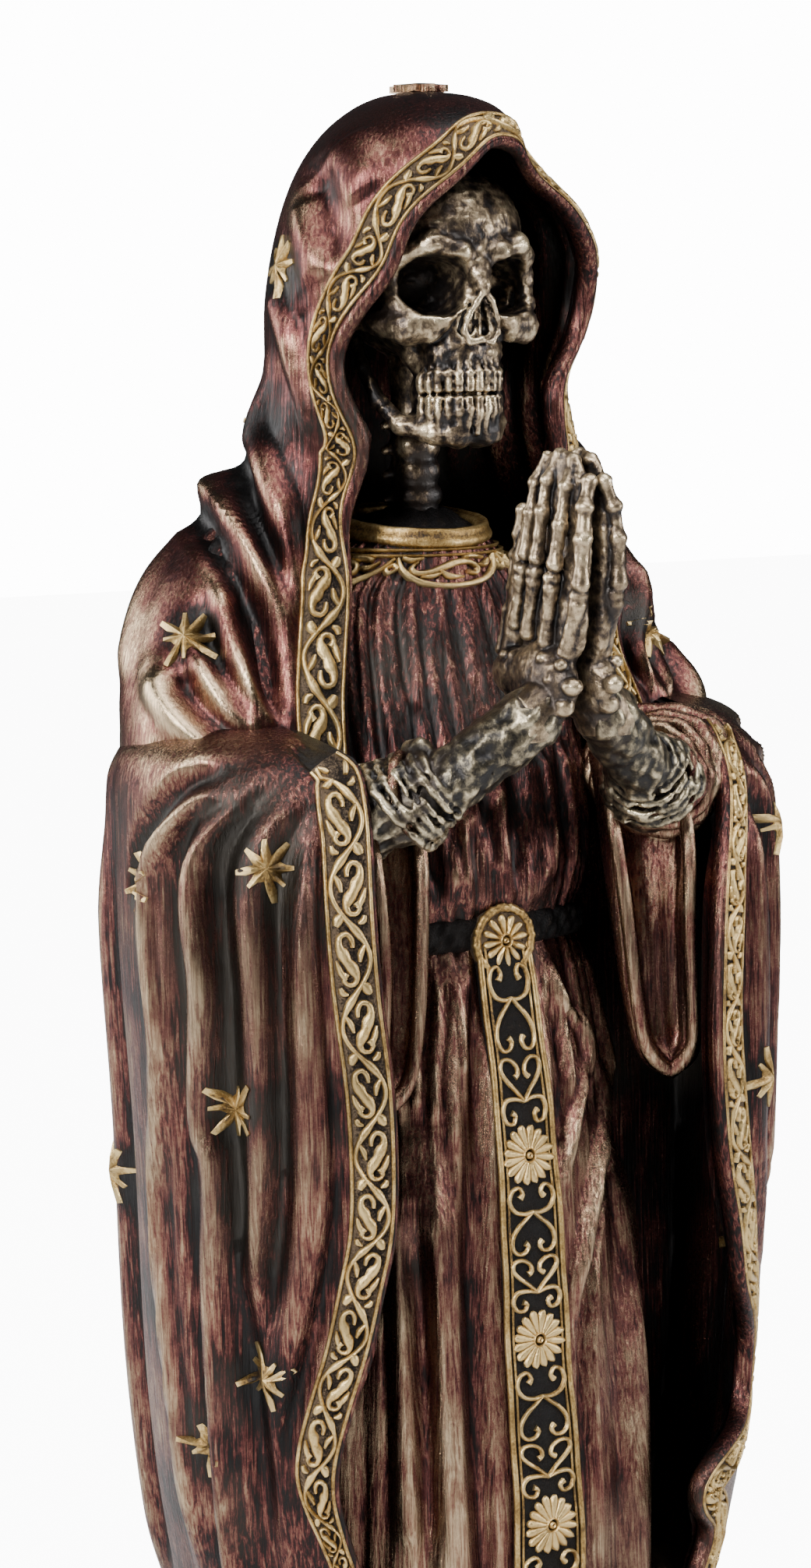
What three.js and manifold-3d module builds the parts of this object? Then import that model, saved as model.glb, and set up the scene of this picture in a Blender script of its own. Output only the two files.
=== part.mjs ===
// A hooded skeleton saint, standing with its hands pressed together in prayer.
// It is one solid casting: a low foot, a robe with a belt and a hanging sash, two bell
// sleeves, bony forearms and hands, a skull, and a mantle that rises into a hood and
// hangs over both forearms. Millimetres, +Z up, the figure faces -Y, and the origin is
// the middle of the underside.
import * as THREE from "three";
import { mergeVertices } from "three/addons/utils/BufferGeometryUtils.js";
import Module from "manifold-3d";

const wasm = await Module();
wasm.setup();

const figureHeight = 290;
const footHeight = 7;
const footHalfWidth = 38;
const footHalfDepth = 34;
const footForward = 6;
const footChamfer = 1.6;
const mantleThickness = 3.2;
const borderWidth = 9.5;
const borderDepth = 0.7;
const collarRadius = 14;
const collarBandRadius = 1.9;
const beltRadius = 3.6;
const buckleRadius = 6.7;
const buckleThickness = 2.4;
const sleeveAim = 25;
const sashTopWidth = 11;
const sashFootWidth = 15.5;
const sashThickness = 1.6;
const starRadius = 5.6;
const starThickness = 1.2;
const fingerRadius = 1.85;
const fingerPitch = 4.9;

// Every height below is a share of the figure's height, drawn on a scale of 290.
const h = figureHeight / 290;
const degrees = Math.PI / 180;

function smooth(low, high, value) {
  const t = Math.min(1, Math.max(0, (value - low) / (high - low)));
  return t * t * (3 - 2 * t);
}

// Reads a table of rows [key, value, value ...] at a key, on one smooth curve.
function along(rows, key) {
  const last = rows.length - 1;
  if (key <= rows[0][0]) return rows[0].slice(1);
  if (key >= rows[last][0]) return rows[last].slice(1);
  let i = 0;
  while (key > rows[i + 1][0]) i += 1;
  const before = rows[Math.max(0, i - 1)];
  const from = rows[i];
  const to = rows[i + 1];
  const after = rows[Math.min(last, i + 2)];
  const span = to[0] - from[0];
  const t = (key - from[0]) / span;
  return from.slice(1).map((value, k) => {
    const c = k + 1;
    const leave = ((to[c] - before[c]) / (to[0] - before[0])) * span;
    const arrive = ((after[c] - from[c]) / (after[0] - from[0])) * span;
    const t2 = t * t;
    const t3 = t2 * t;
    return (
      (2 * t3 - 3 * t2 + 1) * value +
      (t3 - 2 * t2 + t) * leave +
      (3 * t2 - 2 * t3) * to[c] +
      (t3 - t2) * arrive
    );
  });
}

// A fold runs from one turn angle at its top to another at its foot, both in degrees.
// Ridges have a positive height, grooves a negative one.
function foldHeight(folds, turn, z) {
  let sum = 0;
  for (const f of folds) {
    const share = (f.top - z) / (f.top - f.foot);
    if (share < -0.1 || share > 1.1) continue;
    const centre = f.from + (f.to - f.from) * share;
    const width = f.width * (1 + 0.5 * share);
    const gap = Math.abs(turn - centre) / width;
    if (gap >= 1) continue;
    const fade = smooth(-0.1, 0.25, share) * (1 - smooth(0.9, 1.1, share));
    sum += f.height * fade * (1 - gap * gap) ** 2;
  }
  return sum;
}

// A point of an egg-shaped level outline: turn 0 is the front, +90 is +X, 180 the back.
function outlinePoint(row, turn, swell) {
  const [halfWidth, front, back, middle, squareness] = row;
  const s = Math.sin(turn * degrees);
  const c = Math.cos(turn * degrees);
  const power = 2 / squareness;
  const reach = c > 0 ? front : back;
  const x = (halfWidth + swell) * Math.sign(s) * Math.abs(s) ** power;
  const y = middle - (reach + swell) * Math.sign(c) * Math.abs(c) ** power;
  return [x, y];
}

// Closed solid from a loft of closed rings, with a fan over each end.
function loft(ringCount, sideCount, pointOf) {
  const positions = [];
  const indices = [];
  for (let i = 0; i < ringCount; i += 1)
    for (let k = 0; k < sideCount; k += 1)
      positions.push(...pointOf(i / (ringCount - 1), k / sideCount));
  for (let i = 0; i < ringCount - 1; i += 1)
    for (let k = 0; k < sideCount; k += 1) {
      const a = i * sideCount + k;
      const b = i * sideCount + ((k + 1) % sideCount);
      indices.push(a, b, b + sideCount, a, b + sideCount, a + sideCount);
    }
  for (const [first, upward] of [
    [0, false],
    [(ringCount - 1) * sideCount, true],
  ]) {
    const centre = positions.length / 3;
    const middle = [0, 0, 0];
    for (let k = 0; k < sideCount; k += 1)
      for (let c = 0; c < 3; c += 1)
        middle[c] += positions[3 * (first + k) + c] / sideCount;
    positions.push(...middle);
    for (let k = 0; k < sideCount; k += 1) {
      const a = first + k;
      const b = first + ((k + 1) % sideCount);
      indices.push(...(upward ? [a, b, centre] : [b, a, centre]));
    }
  }
  return solidFrom(positions, indices);
}

// Closed solid between an outer and an inner sheet over the same two parameters. The inner
// sheet is coarser: its columns meet in groups, and the faces between them fall away.
function shell(acrossCount, downCount, liningCount, outerOf, innerOf) {
  const coarseOf = (u, v) => innerOf(Math.round(u * liningCount) / liningCount, v);
  const positions = [];
  const indices = [];
  const row = acrossCount + 1;
  for (const sheetOf of [outerOf, coarseOf])
    for (let j = 0; j <= downCount; j += 1)
      for (let i = 0; i <= acrossCount; i += 1)
        positions.push(...sheetOf(i / acrossCount, j / downCount));
  const inner = row * (downCount + 1);
  for (let j = 0; j < downCount; j += 1)
    for (let i = 0; i < acrossCount; i += 1) {
      const a = j * row + i;
      const b = a + 1;
      const c = b + row;
      const d = a + row;
      indices.push(a, b, c, a, c, d);
      indices.push(inner + a, inner + c, inner + b, inner + a, inner + d, inner + c);
    }
  const rim = (a, b) => indices.push(b, a, inner + a, b, inner + a, inner + b);
  for (let i = 0; i < acrossCount; i += 1) {
    rim(i, i + 1);
    rim(downCount * row + i + 1, downCount * row + i);
  }
  // Where the two side edges meet, the sheet is closed and needs no wall there.
  const meets = (j) =>
    [0, 1, 2].every(
      (c) =>
        Math.abs(positions[3 * j * row + c] - positions[3 * (j * row + acrossCount) + c]) < 1e-4,
    );
  for (let j = 0; j < downCount; j += 1) {
    if (meets(j) && meets(j + 1)) continue;
    rim((j + 1) * row, j * row);
    rim(j * row + acrossCount, (j + 1) * row + acrossCount);
  }
  return solidFrom(positions, indices);
}

function solidFrom(positions, indices) {
  const raw = new THREE.BufferGeometry();
  raw.setAttribute("position", new THREE.Float32BufferAttribute(positions, 3));
  raw.setIndex(indices);
  return solidOf(raw);
}

// Welds a geometry's points, drops faces that have collapsed, and makes it a solid.
function solidOf(geometry) {
  geometry.deleteAttribute("normal");
  geometry.deleteAttribute("uv");
  const welded = mergeVertices(geometry, 1e-4);
  const kept = [];
  const index = welded.index.array;
  for (let i = 0; i < index.length; i += 3) {
    const [a, b, c] = [index[i], index[i + 1], index[i + 2]];
    if (a !== b && b !== c && a !== c) kept.push(a, b, c);
  }
  const made = new wasm.Manifold(
    new wasm.Mesh({
      numProp: 3,
      vertProperties: new Float32Array(welded.attributes.position.array),
      triVerts: new Uint32Array(kept),
    }),
  );
  if (made.volume() >= 0) return made;
  for (let i = 0; i < kept.length; i += 3)
    [kept[i + 1], kept[i + 2]] = [kept[i + 2], kept[i + 1]];
  return new wasm.Manifold(
    new wasm.Mesh({
      numProp: 3,
      vertProperties: new Float32Array(welded.attributes.position.array),
      triVerts: new Uint32Array(kept),
    }),
  );
}

function placed(geometry, { at = [0, 0, 0], turned = [0, 0, 0], size = [1, 1, 1] }) {
  const matrix = new THREE.Matrix4().compose(
    new THREE.Vector3(...at),
    new THREE.Quaternion().setFromEuler(new THREE.Euler(...turned.map((d) => d * degrees))),
    new THREE.Vector3(...size),
  );
  return solidOf(geometry.applyMatrix4(matrix));
}

const ball = (at, size, turned = [0, 0, 0], sides = 12) =>
  placed(new THREE.SphereGeometry(1, sides, Math.round(sides * 0.67)), { at, size, turned });

// A round limb through points [x, y, z, radius], with each section level to its run.
function limb(stations, sides, steps) {
  const path = new THREE.CatmullRomCurve3(stations.map(([x, y, z]) => new THREE.Vector3(x, y, z)));
  const radii = stations.map((s, i) => [i / (stations.length - 1), s[3]]);
  const frames = path.computeFrenetFrames(steps, false);
  return loft(steps + 1, sides, (t, k) => {
    const i = Math.round(t * steps);
    const centre = path.getPoint(t);
    const [radius] = along(radii, t);
    const angle = k * 2 * Math.PI;
    return centre
      .addScaledVector(frames.normals[i], radius * Math.cos(angle))
      .addScaledVector(frames.binormals[i], radius * Math.sin(angle))
      .toArray();
  });
}

const joined = (solids) => solids.reduce((all, next) => all.add(next));

// The robe: [height, half width, front reach, back reach, middle, squareness].
const robeRows = [
  [5, 38, 33, 34, 2, 2.2],
  [30, 36, 32, 32, 1, 2.2],
  [60, 34, 29, 30, 1, 2.2],
  [100, 31, 26, 27, 1, 2.2],
  [128, 29, 21, 24, 2, 2.2],
  [134, 27, 20, 22, 2, 2.2],
  [142, 29, 22, 24, 2, 2.2],
  [160, 31, 21, 26, 4, 2.2],
  [180, 31, 19, 26, 8, 2.2],
  [196, 27, 16, 22, 12, 2.1],
  [206, 15, 12, 14, 15, 2],
];
const robeFolds = [
  { from: -13, to: -24, width: 6, height: 2.2, top: 128, foot: 0 },
  { from: -26, to: -42, width: 8, height: 3.4, top: 126, foot: 0 },
  { from: -44, to: -62, width: 9, height: 3.2, top: 124, foot: 0 },
  { from: -33, to: -33, width: 5, height: -1.8, top: 110, foot: 0 },
  { from: 14, to: 20, width: 5, height: 2.2, top: 128, foot: 30 },
  { from: 27, to: 36, width: 11, height: 4.2, top: 112, foot: 0 },
  { from: 22, to: 25, width: 5, height: -2, top: 120, foot: 0 },
  { from: 50, to: 60, width: 9, height: 2.6, top: 124, foot: 0 },
  { from: -6, to: -5, width: 4, height: 1.3, top: 186, foot: 138 },
  { from: 6, to: 7, width: 4, height: 1.3, top: 186, foot: 138 },
  { from: -20, to: -17, width: 5, height: 1.6, top: 188, foot: 138 },
  { from: 20, to: 18, width: 5, height: 1.6, top: 188, foot: 138 },
];

function robePoint(turn, z) {
  const [x, y] = outlinePoint(along(robeRows, z), turn, foldHeight(robeFolds, turn, z));
  return [x, y, z * h];
}

function makeRobe() {
  const levels = [5, 30, 60, 95, 126, 134, 142, 160, 180, 196, 206];
  const last = levels.length - 1;
  return loft(last + 1, 36, (t, k) => robePoint(k * 360 - 180, levels[Math.round(t * last)]));
}

// The hood and shoulders, from the crook of the arms to the crown.
const hoodRows = [
  [150, 60, 20, 33, 2, 2.4],
  [160, 62, 20, 34, 3, 2.4],
  [175, 62, 20, 33, 5, 2.3],
  [190, 57, 22, 29, 11, 2.2],
  [200, 52, 23, 26, 13, 2.1],
  [208, 45, 22, 24, 12, 2],
  [216, 38, 20, 25, 9, 2],
  [224, 33.5, 19, 27, 6, 2],
  [234, 31.5, 19, 29, 3, 2],
  [250, 31, 20, 29, 2, 2],
  [262, 29.5, 21, 27, 1, 2],
  [272, 26, 23, 24, 1, 2],
  [279, 21.5, 22, 20, 1, 2],
  [284, 15.5, 17, 14.5, 2, 2],
  [287.2, 8.5, 9.5, 8, 3, 2],
  [288.6, 0, 0, 0, 4, 2],
];
// Where the hood's front edge runs: [height, reach towards -X, reach towards +X].
const hoodEdge = [
  [146, 31, 32],
  [169, 29.7, 30],
  [178, 29, 29],
  [185, 27, 28],
  [195, 24.7, 27],
  [203, 24, 26.1],
  [210, 24.3, 25],
  [217, 22, 24.1],
  [222, 20.6, 23.6],
  [226, 21.2, 23.6],
  [231, 24.2, 24.8],
  [238, 26.5, 27],
  [243, 25.6, 28],
  [249, 22.5, 27.6],
  [253, 19.2, 26.7],
  [257, 17.4, 25],
  [261, 16.9, 23],
  [264.5, 15.2, 20.6],
  [268, 12, 17.5],
  [272, 7, 13],
  [276, 3.2, 7.5],
  [279, 0, 0],
];
// The hood is hollow above its floor, and its front opening ends where its edges meet.
const hoodFloor = 203;
const recessDepth = 7;
const openingTop = () => hoodEdge[hoodEdge.length - 1][0];
const hoodFolds = [
  { from: -52, to: -40, width: 8, height: 2.4, top: 236, foot: 176 },
  { from: -70, to: -56, width: 9, height: 2.8, top: 228, foot: 172 },
  { from: -100, to: -78, width: 12, height: 3, top: 222, foot: 165 },
  { from: -60, to: -64, width: 9, height: 1.6, top: 286, foot: 240 },
  { from: -78, to: -74, width: 8, height: -1.6, top: 276, foot: 246 },
  { from: 52, to: 40, width: 8, height: 2.4, top: 236, foot: 176 },
  { from: 70, to: 56, width: 9, height: 2.8, top: 228, foot: 172 },
  { from: 100, to: 78, width: 12, height: 3, top: 222, foot: 165 },
  { from: 150, to: 140, width: 14, height: 2.4, top: 240, foot: 150 },
  { from: -150, to: -140, width: 14, height: 2.4, top: 240, foot: 150 },
  { from: 180, to: 180, width: 14, height: 2, top: 230, foot: 150 },
  { from: -180, to: -180, width: 14, height: 2, top: 230, foot: 150 },
];

// The turn angle at which an outline reaches a given x at its front.
function turnAt(row, x) {
  const share = Math.min(1, Math.abs(x) / row[0]);
  return (Math.sign(x) * Math.asin(share ** (row[4] / 2))) / degrees;
}

// The band beside a front edge lies a little lower than its two raised rims.
function bandHeight(distance) {
  const sunk = smooth(1, 1.8, distance) * (1 - smooth(borderWidth - 1, borderWidth, distance));
  return -borderDepth * sunk;
}

// A crowd of columns near both front edges, where the band and the rolled edge are.
const edgeCrowd = (u) => u - (0.55 * Math.sin(4 * Math.PI * u)) / (4 * Math.PI);

function hoodLevel(v) {
  const low = hoodRows[0][0];
  const top = hoodRows[hoodRows.length - 1][0];
  return low + (top - low) * Math.sin((v * Math.PI) / 2) ** 0.9;
}

function hoodTurns(row, z) {
  const [right, left] = along(hoodEdge, z);
  if (z >= openingTop()) return [0, 360];
  return [turnAt(row, left), 360 - Math.abs(turnAt(row, -right))];
}

function hoodPoint(u, z) {
  const row = along(hoodRows, z);
  const [start, end] = hoodTurns(row, z);
  const turn = start + (end - start) * edgeCrowd(u);
  const signed = turn > 180 ? turn - 360 : turn;
  const girth = (row[0] + row[1]) / 2;
  const distance = Math.min(turn - start, end - turn) * degrees * girth;
  const edgeFade = smooth(0, borderWidth * 1.2, distance);
  const band = z < openingTop() ? bandHeight(distance) : 0;
  const crownFade = 1 - smooth(278, 287, z);
  const crease = foldHeight(hoodFolds, signed, z) * edgeFade * smooth(172, 192, z);
  const swell = (crease + band) * crownFade;
  const [x, y] = outlinePoint(row, turn, swell);
  return [x, y, z * h];
}

// The inside of the hood, which becomes a shallow recess below the neck.
function hoodLining(u, z) {
  const row = along(hoodRows, z);
  const [start, end] = hoodTurns(row, z);
  const thin = row.map((value, i) => (i < 3 ? Math.max(0, value - mantleThickness) : value));
  const [x, y] = outlinePoint(thin, start + (end - start) * edgeCrowd(u), 0);
  const deepest = recessDepth + 60 * smooth(hoodFloor - 2, hoodFloor + 10, z);
  return [x, Math.min(y, deepest), (z - mantleThickness * smooth(262, 288.6, z)) * h];
}

function makeHood() {
  return shell(
    36,
    17,
    12,
    (u, v) => hoodPoint(u, hoodLevel(v)),
    (u, v) => hoodLining(u, hoodLevel(v)),
  );
}

// The lower mantle, over the forearms and down to the ground.
const mantleRows = [
  [0, 53, 36, 44, 0, 2.5],
  [12, 56, 38, 45, 0, 2.5],
  [35, 60, 40, 45, -1, 2.5],
  [60, 62, 41, 45, -1, 2.5],
  [100, 64, 41, 43, -2, 2.5],
  [135, 66, 40, 42, -2, 2.5],
  [155, 66, 37, 41, -2, 2.5],
  [166, 65.5, 34, 40, -1, 2.4],
  [172, 62, 27, 37, 0, 2.3],
  [176, 51, 12, 28, 4, 2.2],
];
// Where the lower mantle's front edges run: [height, turn of the -X edge, turn of the +X edge].
const mantleEdge = [
  [0, 36, 38],
  [8, 37, 39],
  [16, 39.5, 39.5],
  [26, 42.3, 38.5],
  [32, 44.2, 42],
  [38, 45.2, 50],
  [44, 44.3, 57],
  [52, 41.2, 55],
  [62, 37, 45],
  [70, 34.5, 40.2],
  [84, 30.6, 34],
  [94, 29.6, 31],
  [112, 29.4, 28.6],
  [128, 30.4, 29],
  [140, 30.6, 30.2],
  [152, 30.3, 33.7],
  [164, 32, 37.4],
  [170, 35, 40],
  [176, 50, 54],
];
const mantleFolds = [
  { from: -55, to: -52, width: 6, height: 2, top: 160, foot: 10 },
  { from: -66, to: -66, width: 7, height: 2.6, top: 166, foot: 0 },
  { from: -80, to: -76, width: 7, height: 3, top: 168, foot: 0 },
  { from: -93, to: -90, width: 7, height: 3, top: 166, foot: 0 },
  { from: -108, to: -106, width: 8, height: 2.6, top: 150, foot: 0 },
  { from: 70, to: 70, width: 7, height: 2, top: 160, foot: 0 },
  { from: 84, to: 84, width: 8, height: 2.8, top: 166, foot: 0 },
  { from: 100, to: 100, width: 8, height: 3, top: 166, foot: 0 },
  { from: 122, to: 120, width: 10, height: 3, top: 150, foot: 0 },
  { from: -128, to: -126, width: 10, height: 3, top: 150, foot: 0 },
  { from: 146, to: 144, width: 10, height: 3, top: 160, foot: 0 },
  { from: -148, to: -146, width: 10, height: 3, top: 160, foot: 0 },
  { from: 170, to: 168, width: 9, height: 3, top: 160, foot: 0 },
  { from: -170, to: -168, width: 9, height: 3, top: 160, foot: 0 },
];

// The columns follow the front edges only near them, so the back hangs straight.
function mantleTurn(right, left, u) {
  const plain = 34 + 292 * edgeCrowd(u);
  return plain + (left - 34) * (1 - smooth(0, 0.3, u)) - (right - 34) * smooth(0.7, 1, u);
}

function mantlePoint(u, z) {
  const row = along(mantleRows, z);
  const [right, left] = along(mantleEdge, z);
  const turn = mantleTurn(right, left, u);
  const signed = turn > 180 ? turn - 360 : turn;
  const distance = Math.min(turn - left, 360 - right - turn) * degrees * row[0] * 0.75;
  const edgeFade = smooth(0, borderWidth * 1.3, distance);
  const topFade = 1 - smooth(148, 166, z);
  const swell = foldHeight(mantleFolds, signed, z) * edgeFade * topFade + bandHeight(distance);
  const [x, y] = outlinePoint(row, turn, swell);
  return [x, y, z * h];
}

// The mantle's inside faces, back to where the casting is solid behind the robe.
function mantleLining(u, z) {
  const row = along(mantleRows, z).map((value, i) => (i < 3 ? value - mantleThickness : value));
  const [right, left] = along(mantleEdge, z);
  const [x, y] = outlinePoint(row, mantleTurn(right, left, u), 0);
  return [x, Math.min(y, recessDepth), z * h];
}

// Heights of the mantle's rows of points, closer where its front edges turn.
const mantleLevels = [0, 15, 28, 38, 47, 58, 72, 92, 116, 138, 154, 165, 176];

function makeMantle() {
  const last = mantleLevels.length - 1;
  const level = (v) => mantleLevels[Math.round(v * last)];
  return shell(
    48,
    last,
    10,
    (u, v) => mantlePoint(u, level(v)),
    (u, v) => mantleLining(u, level(v)),
  );
}

function makeFoot() {
  const row = [footHalfWidth, footHalfDepth, footHalfDepth, -footForward, 2.3];
  const levels = [
    [0, 0],
    [footHeight - footChamfer, 0],
    [footHeight, -footChamfer],
  ];
  return loft(3, 24, (t, k) => {
    const [height, swell] = levels[Math.round(t * 2)];
    const [x, y] = outlinePoint(row, k * 360 - 180, swell);
    return [x, y, height];
  });
}

// The hanging bell sleeve on one side: a deep pocket with its mouth to the front.
const sleeveStations = [
  [0, 30, -20, 166, 9],
  [0.25, 29.5, -25, 151, 9.4],
  [0.5, 29.5, -27, 132, 7.8],
  [0.75, 31, -27.5, 115, 6.8],
  [0.9, 32, -27.8, 107.5, 5.2],
  [1, 32.5, -27.5, 103.5, 0.6],
];

function makeSleeve(side) {
  const sheet = (inset) => (u, v) => {
    const [x, y, z, radius] = along(sleeveStations, v);
    const r = Math.max(0.3, radius - inset);
    const angle = (sleeveAim - 118 + 236 * u) * degrees;
    const lift = inset * smooth(0.6, 1, v);
    return [
      side * (x + r * Math.sin(angle)),
      y + r * 0.85 * Math.cos(angle),
      (z + lift) * h,
    ];
  };
  return shell(12, 7, 12, sheet(0), sheet(2.4));
}

// Forearm bones and the gathered cuff that they come out of.
function makeForearm(side) {
  const cuff = limb(
    [
      [side * 41, -12, 155 * h, 11],
      [side * 32, -24, 156 * h, 10.4],
      [side * 24, -32, 161 * h, 8.2],
      [side * 20, -35, 164 * h, 6.6],
    ],
    12,
    5,
  );
  const bone = limb(
    [
      [side * 28, -28, 158 * h, 4.6],
      [side * 17, -36, 168 * h, 4.4],
      [side * 9, -42, 175 * h, 5],
      [side * 6, -43, 180 * h, 5.4],
    ],
    8,
    5,
  );
  return cuff.add(bone);
}

// One hand, upright, with its palm on the middle plane.
function makeHand(side) {
  const parts = [ball([side * 5, -42, 183 * h], [5, 8.5, 6], [0, 0, 0], 8)];
  parts.push(ball([side * 2.4, -41, 197 * h], [2.4, 10, 14], [0, 0, 0], 8));
  const lengths = [38, 43, 41, 35];
  lengths.forEach((length, i) => {
    const y = -41 + (i - 1.5) * -fingerPitch;
    const root = 182 + 2 * Math.abs(i - 1.5);
    parts.push(
      limb(
        [
          [side * 5.4, -41 + (y + 41) * 0.7, root * h, fingerRadius * 1.1],
          [side * 5, y, (root + length * 0.46) * h, fingerRadius * 1.25],
          [side * 3.4, y + 0.4, (root + length * 0.74) * h, fingerRadius],
          [side * 2, y + 1, (root + length) * h, fingerRadius * 0.7],
        ],
        5,
        4,
      ),
    );
  });
  parts.push(
    limb(
      [
        [side * 5, -35, 184 * h, fingerRadius * 1.1],
        [side * 4.6, -31.5, 194 * h, fingerRadius],
        [side * 2.6, -30, 206 * h, fingerRadius * 0.7],
      ],
      5,
      3,
    ),
  );
  return joined(parts);
}

function makeSkull() {
  const z = (value) => value * h;
  let skull = ball([0, 5, z(257)], [17.5, 20, 18], [0, 0, 0], 12);
  const plain = [
    [[0, -3, z(248)], [13.5, 12, 13]],
    [[0, -6, z(238)], [9.2, 9.4, 11]],
    [[0, -10.4, z(259)], [14, 4.9, 3]],
    [[0, -7.5, z(227)], [7.8, 7.4, 5]],
  ];
  skull = joined([skull, ...plain.map(([at, size]) => ball(at, size, [0, 0, 0], 8))]);
  for (const side of [-1, 1]) {
    skull = skull.add(
      limb(
        [
          [side * 6, -11.5, z(243.5), 2.2],
          [side * 11.5, -9, z(245.5), 3],
          [side * 15, -2, z(247), 2.2],
          [side * 16.5, 6, z(248), 1.8],
        ],
        6,
        4,
      ),
    );
    skull = skull.add(
      limb(
        [
          [side * 15, 4, z(244), 2.4],
          [side * 14, 1, z(232), 2.8],
          [side * 9, -7, z(226), 3],
          [side * 2, -11, z(225), 3.4],
        ],
        6,
        5,
      ),
    );
    skull = skull.subtract(
      ball([side * 7.9, -12.5, z(251.5)], [5.9, 9, 5.2], [0, 0, side * -8], 10),
    );
  }
  const nose = new THREE.ConeGeometry(3.6, 9, 8);
  skull = skull.subtract(
    placed(nose, { at: [0, -15, z(244.5)], turned: [90, 0, 0], size: [1, 2.4, 1] }),
  );
  const teeth = [];
  for (const [level, tall] of [
    [236.4, 4.2],
    [231.8, 3.8],
  ])
    for (let i = -2.5; i <= 2.5; i += 1) {
      const angle = i * 21 * degrees;
      teeth.push(
        placed(new THREE.BoxGeometry(2.5, 3.6, tall), {
          at: [7.8 * Math.sin(angle), -7.4 - 7.4 * Math.cos(angle), z(level)],
          turned: [0, 0, i * 21],
        }),
      );
    }
  const neck = limb(
    [
      [0, 10, z(200), 6],
      [0, 9, z(214), 5.2],
      [0, 7, z(244), 5.5],
    ],
    8,
    4,
  );
  return joined([skull, ...teeth, neck]);
}

// The neck ring, the belt and its round buckle.
function makeTrim() {
  const collar = placed(new THREE.TorusGeometry(collarRadius, collarBandRadius, 5, 18), {
    at: [0, 9.5, 208 * h],
    turned: [9, 0, 0],
    size: [1, 0.95, 1.7],
  });
  const belt = loft(2, 32, (t, k) => {
    const z = 131 + t * 6;
    const [x, y] = outlinePoint(along(robeRows, 134), k * 360 - 180, 1.4);
    return [x, y, z * h];
  });
  const front = robePoint(0, 134)[1];
  const buckle = placed(new THREE.CylinderGeometry(buckleRadius, buckleRadius, buckleThickness, 20), {
    at: [0, front - beltRadius * 0.6, 132.6 * h],
    turned: [4, 0, 0],
  });
  return joined([collar, belt, buckle]);
}

// The sash hangs from the belt down the front of the robe.
function makeSash() {
  const top = 133;
  const sheet = (lift) => (u, v) => {
    const z = top - (top - footHeight / h) * v;
    const width = sashTopWidth + (sashFootWidth - sashTopWidth) * v;
    const x = (u - 0.5) * width;
    const front = outlinePoint(along(robeRows, z), 0, 0)[1];
    const rim = smooth(0.84, 0.92, Math.abs(u - 0.5) * 2) * 0.6;
    return [x, front - 1.2 + lift * (sashThickness + 2) - (lift ? 0 : rim), z * h];
  };
  return shell(6, 10, 1, sheet(0), sheet(1));
}

// An eight-pointed star, laid flat on the cloth at a point with its outward direction.
function makeStar(at, outward, roll) {
  const outline = new THREE.Shape();
  for (let i = 0; i < 16; i += 1) {
    const radius = i % 2 ? starRadius * 0.36 : starRadius * (i % 4 ? 0.85 : 1);
    const angle = (i / 16) * 2 * Math.PI;
    const point = [radius * Math.cos(angle), radius * Math.sin(angle)];
    if (i) outline.lineTo(...point);
    else outline.moveTo(...point);
  }
  const plate = new THREE.ExtrudeGeometry(outline, { depth: starThickness + 2, bevelEnabled: false });
  plate.translate(0, 0, -2);
  plate.rotateZ(roll * degrees);
  plate.applyQuaternion(
    new THREE.Quaternion().setFromUnitVectors(new THREE.Vector3(0, 0, 1), outward),
  );
  plate.translate(...at);
  return solidOf(plate);
}

// The crown star lies flat on top of the hood.
function makeCrownStar() {
  return makeStar([0, 4, figureHeight - starThickness], new THREE.Vector3(0, 0, 1), 10);
}

function makeFigure() {
  const solids = [
    makeFoot(),
    makeRobe(),
    makeMantle(),
    makeHood(),
    makeSash(),
    makeTrim(),
    makeSkull(),
    makeCrownStar(),
  ];
  for (const side of [-1, 1]) solids.push(makeSleeve(side), makeForearm(side), makeHand(side));
  return joined(solids);
}

function geometryOf(solid) {
  const mesh = solid.getMesh();
  const geometry = new THREE.BufferGeometry();
  geometry.setAttribute("position", new THREE.Float32BufferAttribute(mesh.vertProperties, 3));
  geometry.setIndex(new THREE.Uint32BufferAttribute(mesh.triVerts, 1));
  return geometry;
}

const bronze = new THREE.MeshStandardMaterial({ color: 0x5a2c26, roughness: 0.42, metalness: 0.7 });
const figure = new THREE.Mesh(geometryOf(makeFigure()), bronze);
figure.name = "figure";

const statue = new THREE.Group();
statue.add(figure);
export default statue;
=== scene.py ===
# A hooded skeleton saint with its hands pressed together, a painted casting in one piece.
# Lengths are millimetres until a mesh is filled. The figure faces -Y and stands on Z 0.
import math

import bpy
import numpy as np
import openvdb
from mathutils import Matrix, Vector
from mathutils.bvhtree import BVHTree


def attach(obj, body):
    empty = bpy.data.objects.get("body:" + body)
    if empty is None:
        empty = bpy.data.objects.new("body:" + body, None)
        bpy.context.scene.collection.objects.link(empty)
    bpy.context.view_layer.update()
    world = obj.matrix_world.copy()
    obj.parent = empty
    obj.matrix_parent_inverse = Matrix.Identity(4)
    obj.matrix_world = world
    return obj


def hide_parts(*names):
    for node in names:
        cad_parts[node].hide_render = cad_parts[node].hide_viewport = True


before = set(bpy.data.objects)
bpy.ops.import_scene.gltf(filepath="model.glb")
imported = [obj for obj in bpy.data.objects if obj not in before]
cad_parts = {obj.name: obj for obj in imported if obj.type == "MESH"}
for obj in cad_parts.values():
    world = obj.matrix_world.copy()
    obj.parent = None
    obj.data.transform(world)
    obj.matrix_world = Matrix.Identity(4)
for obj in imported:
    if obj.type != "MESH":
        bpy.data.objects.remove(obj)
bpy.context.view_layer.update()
print("frame loaded")

mm = 0.001

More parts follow.
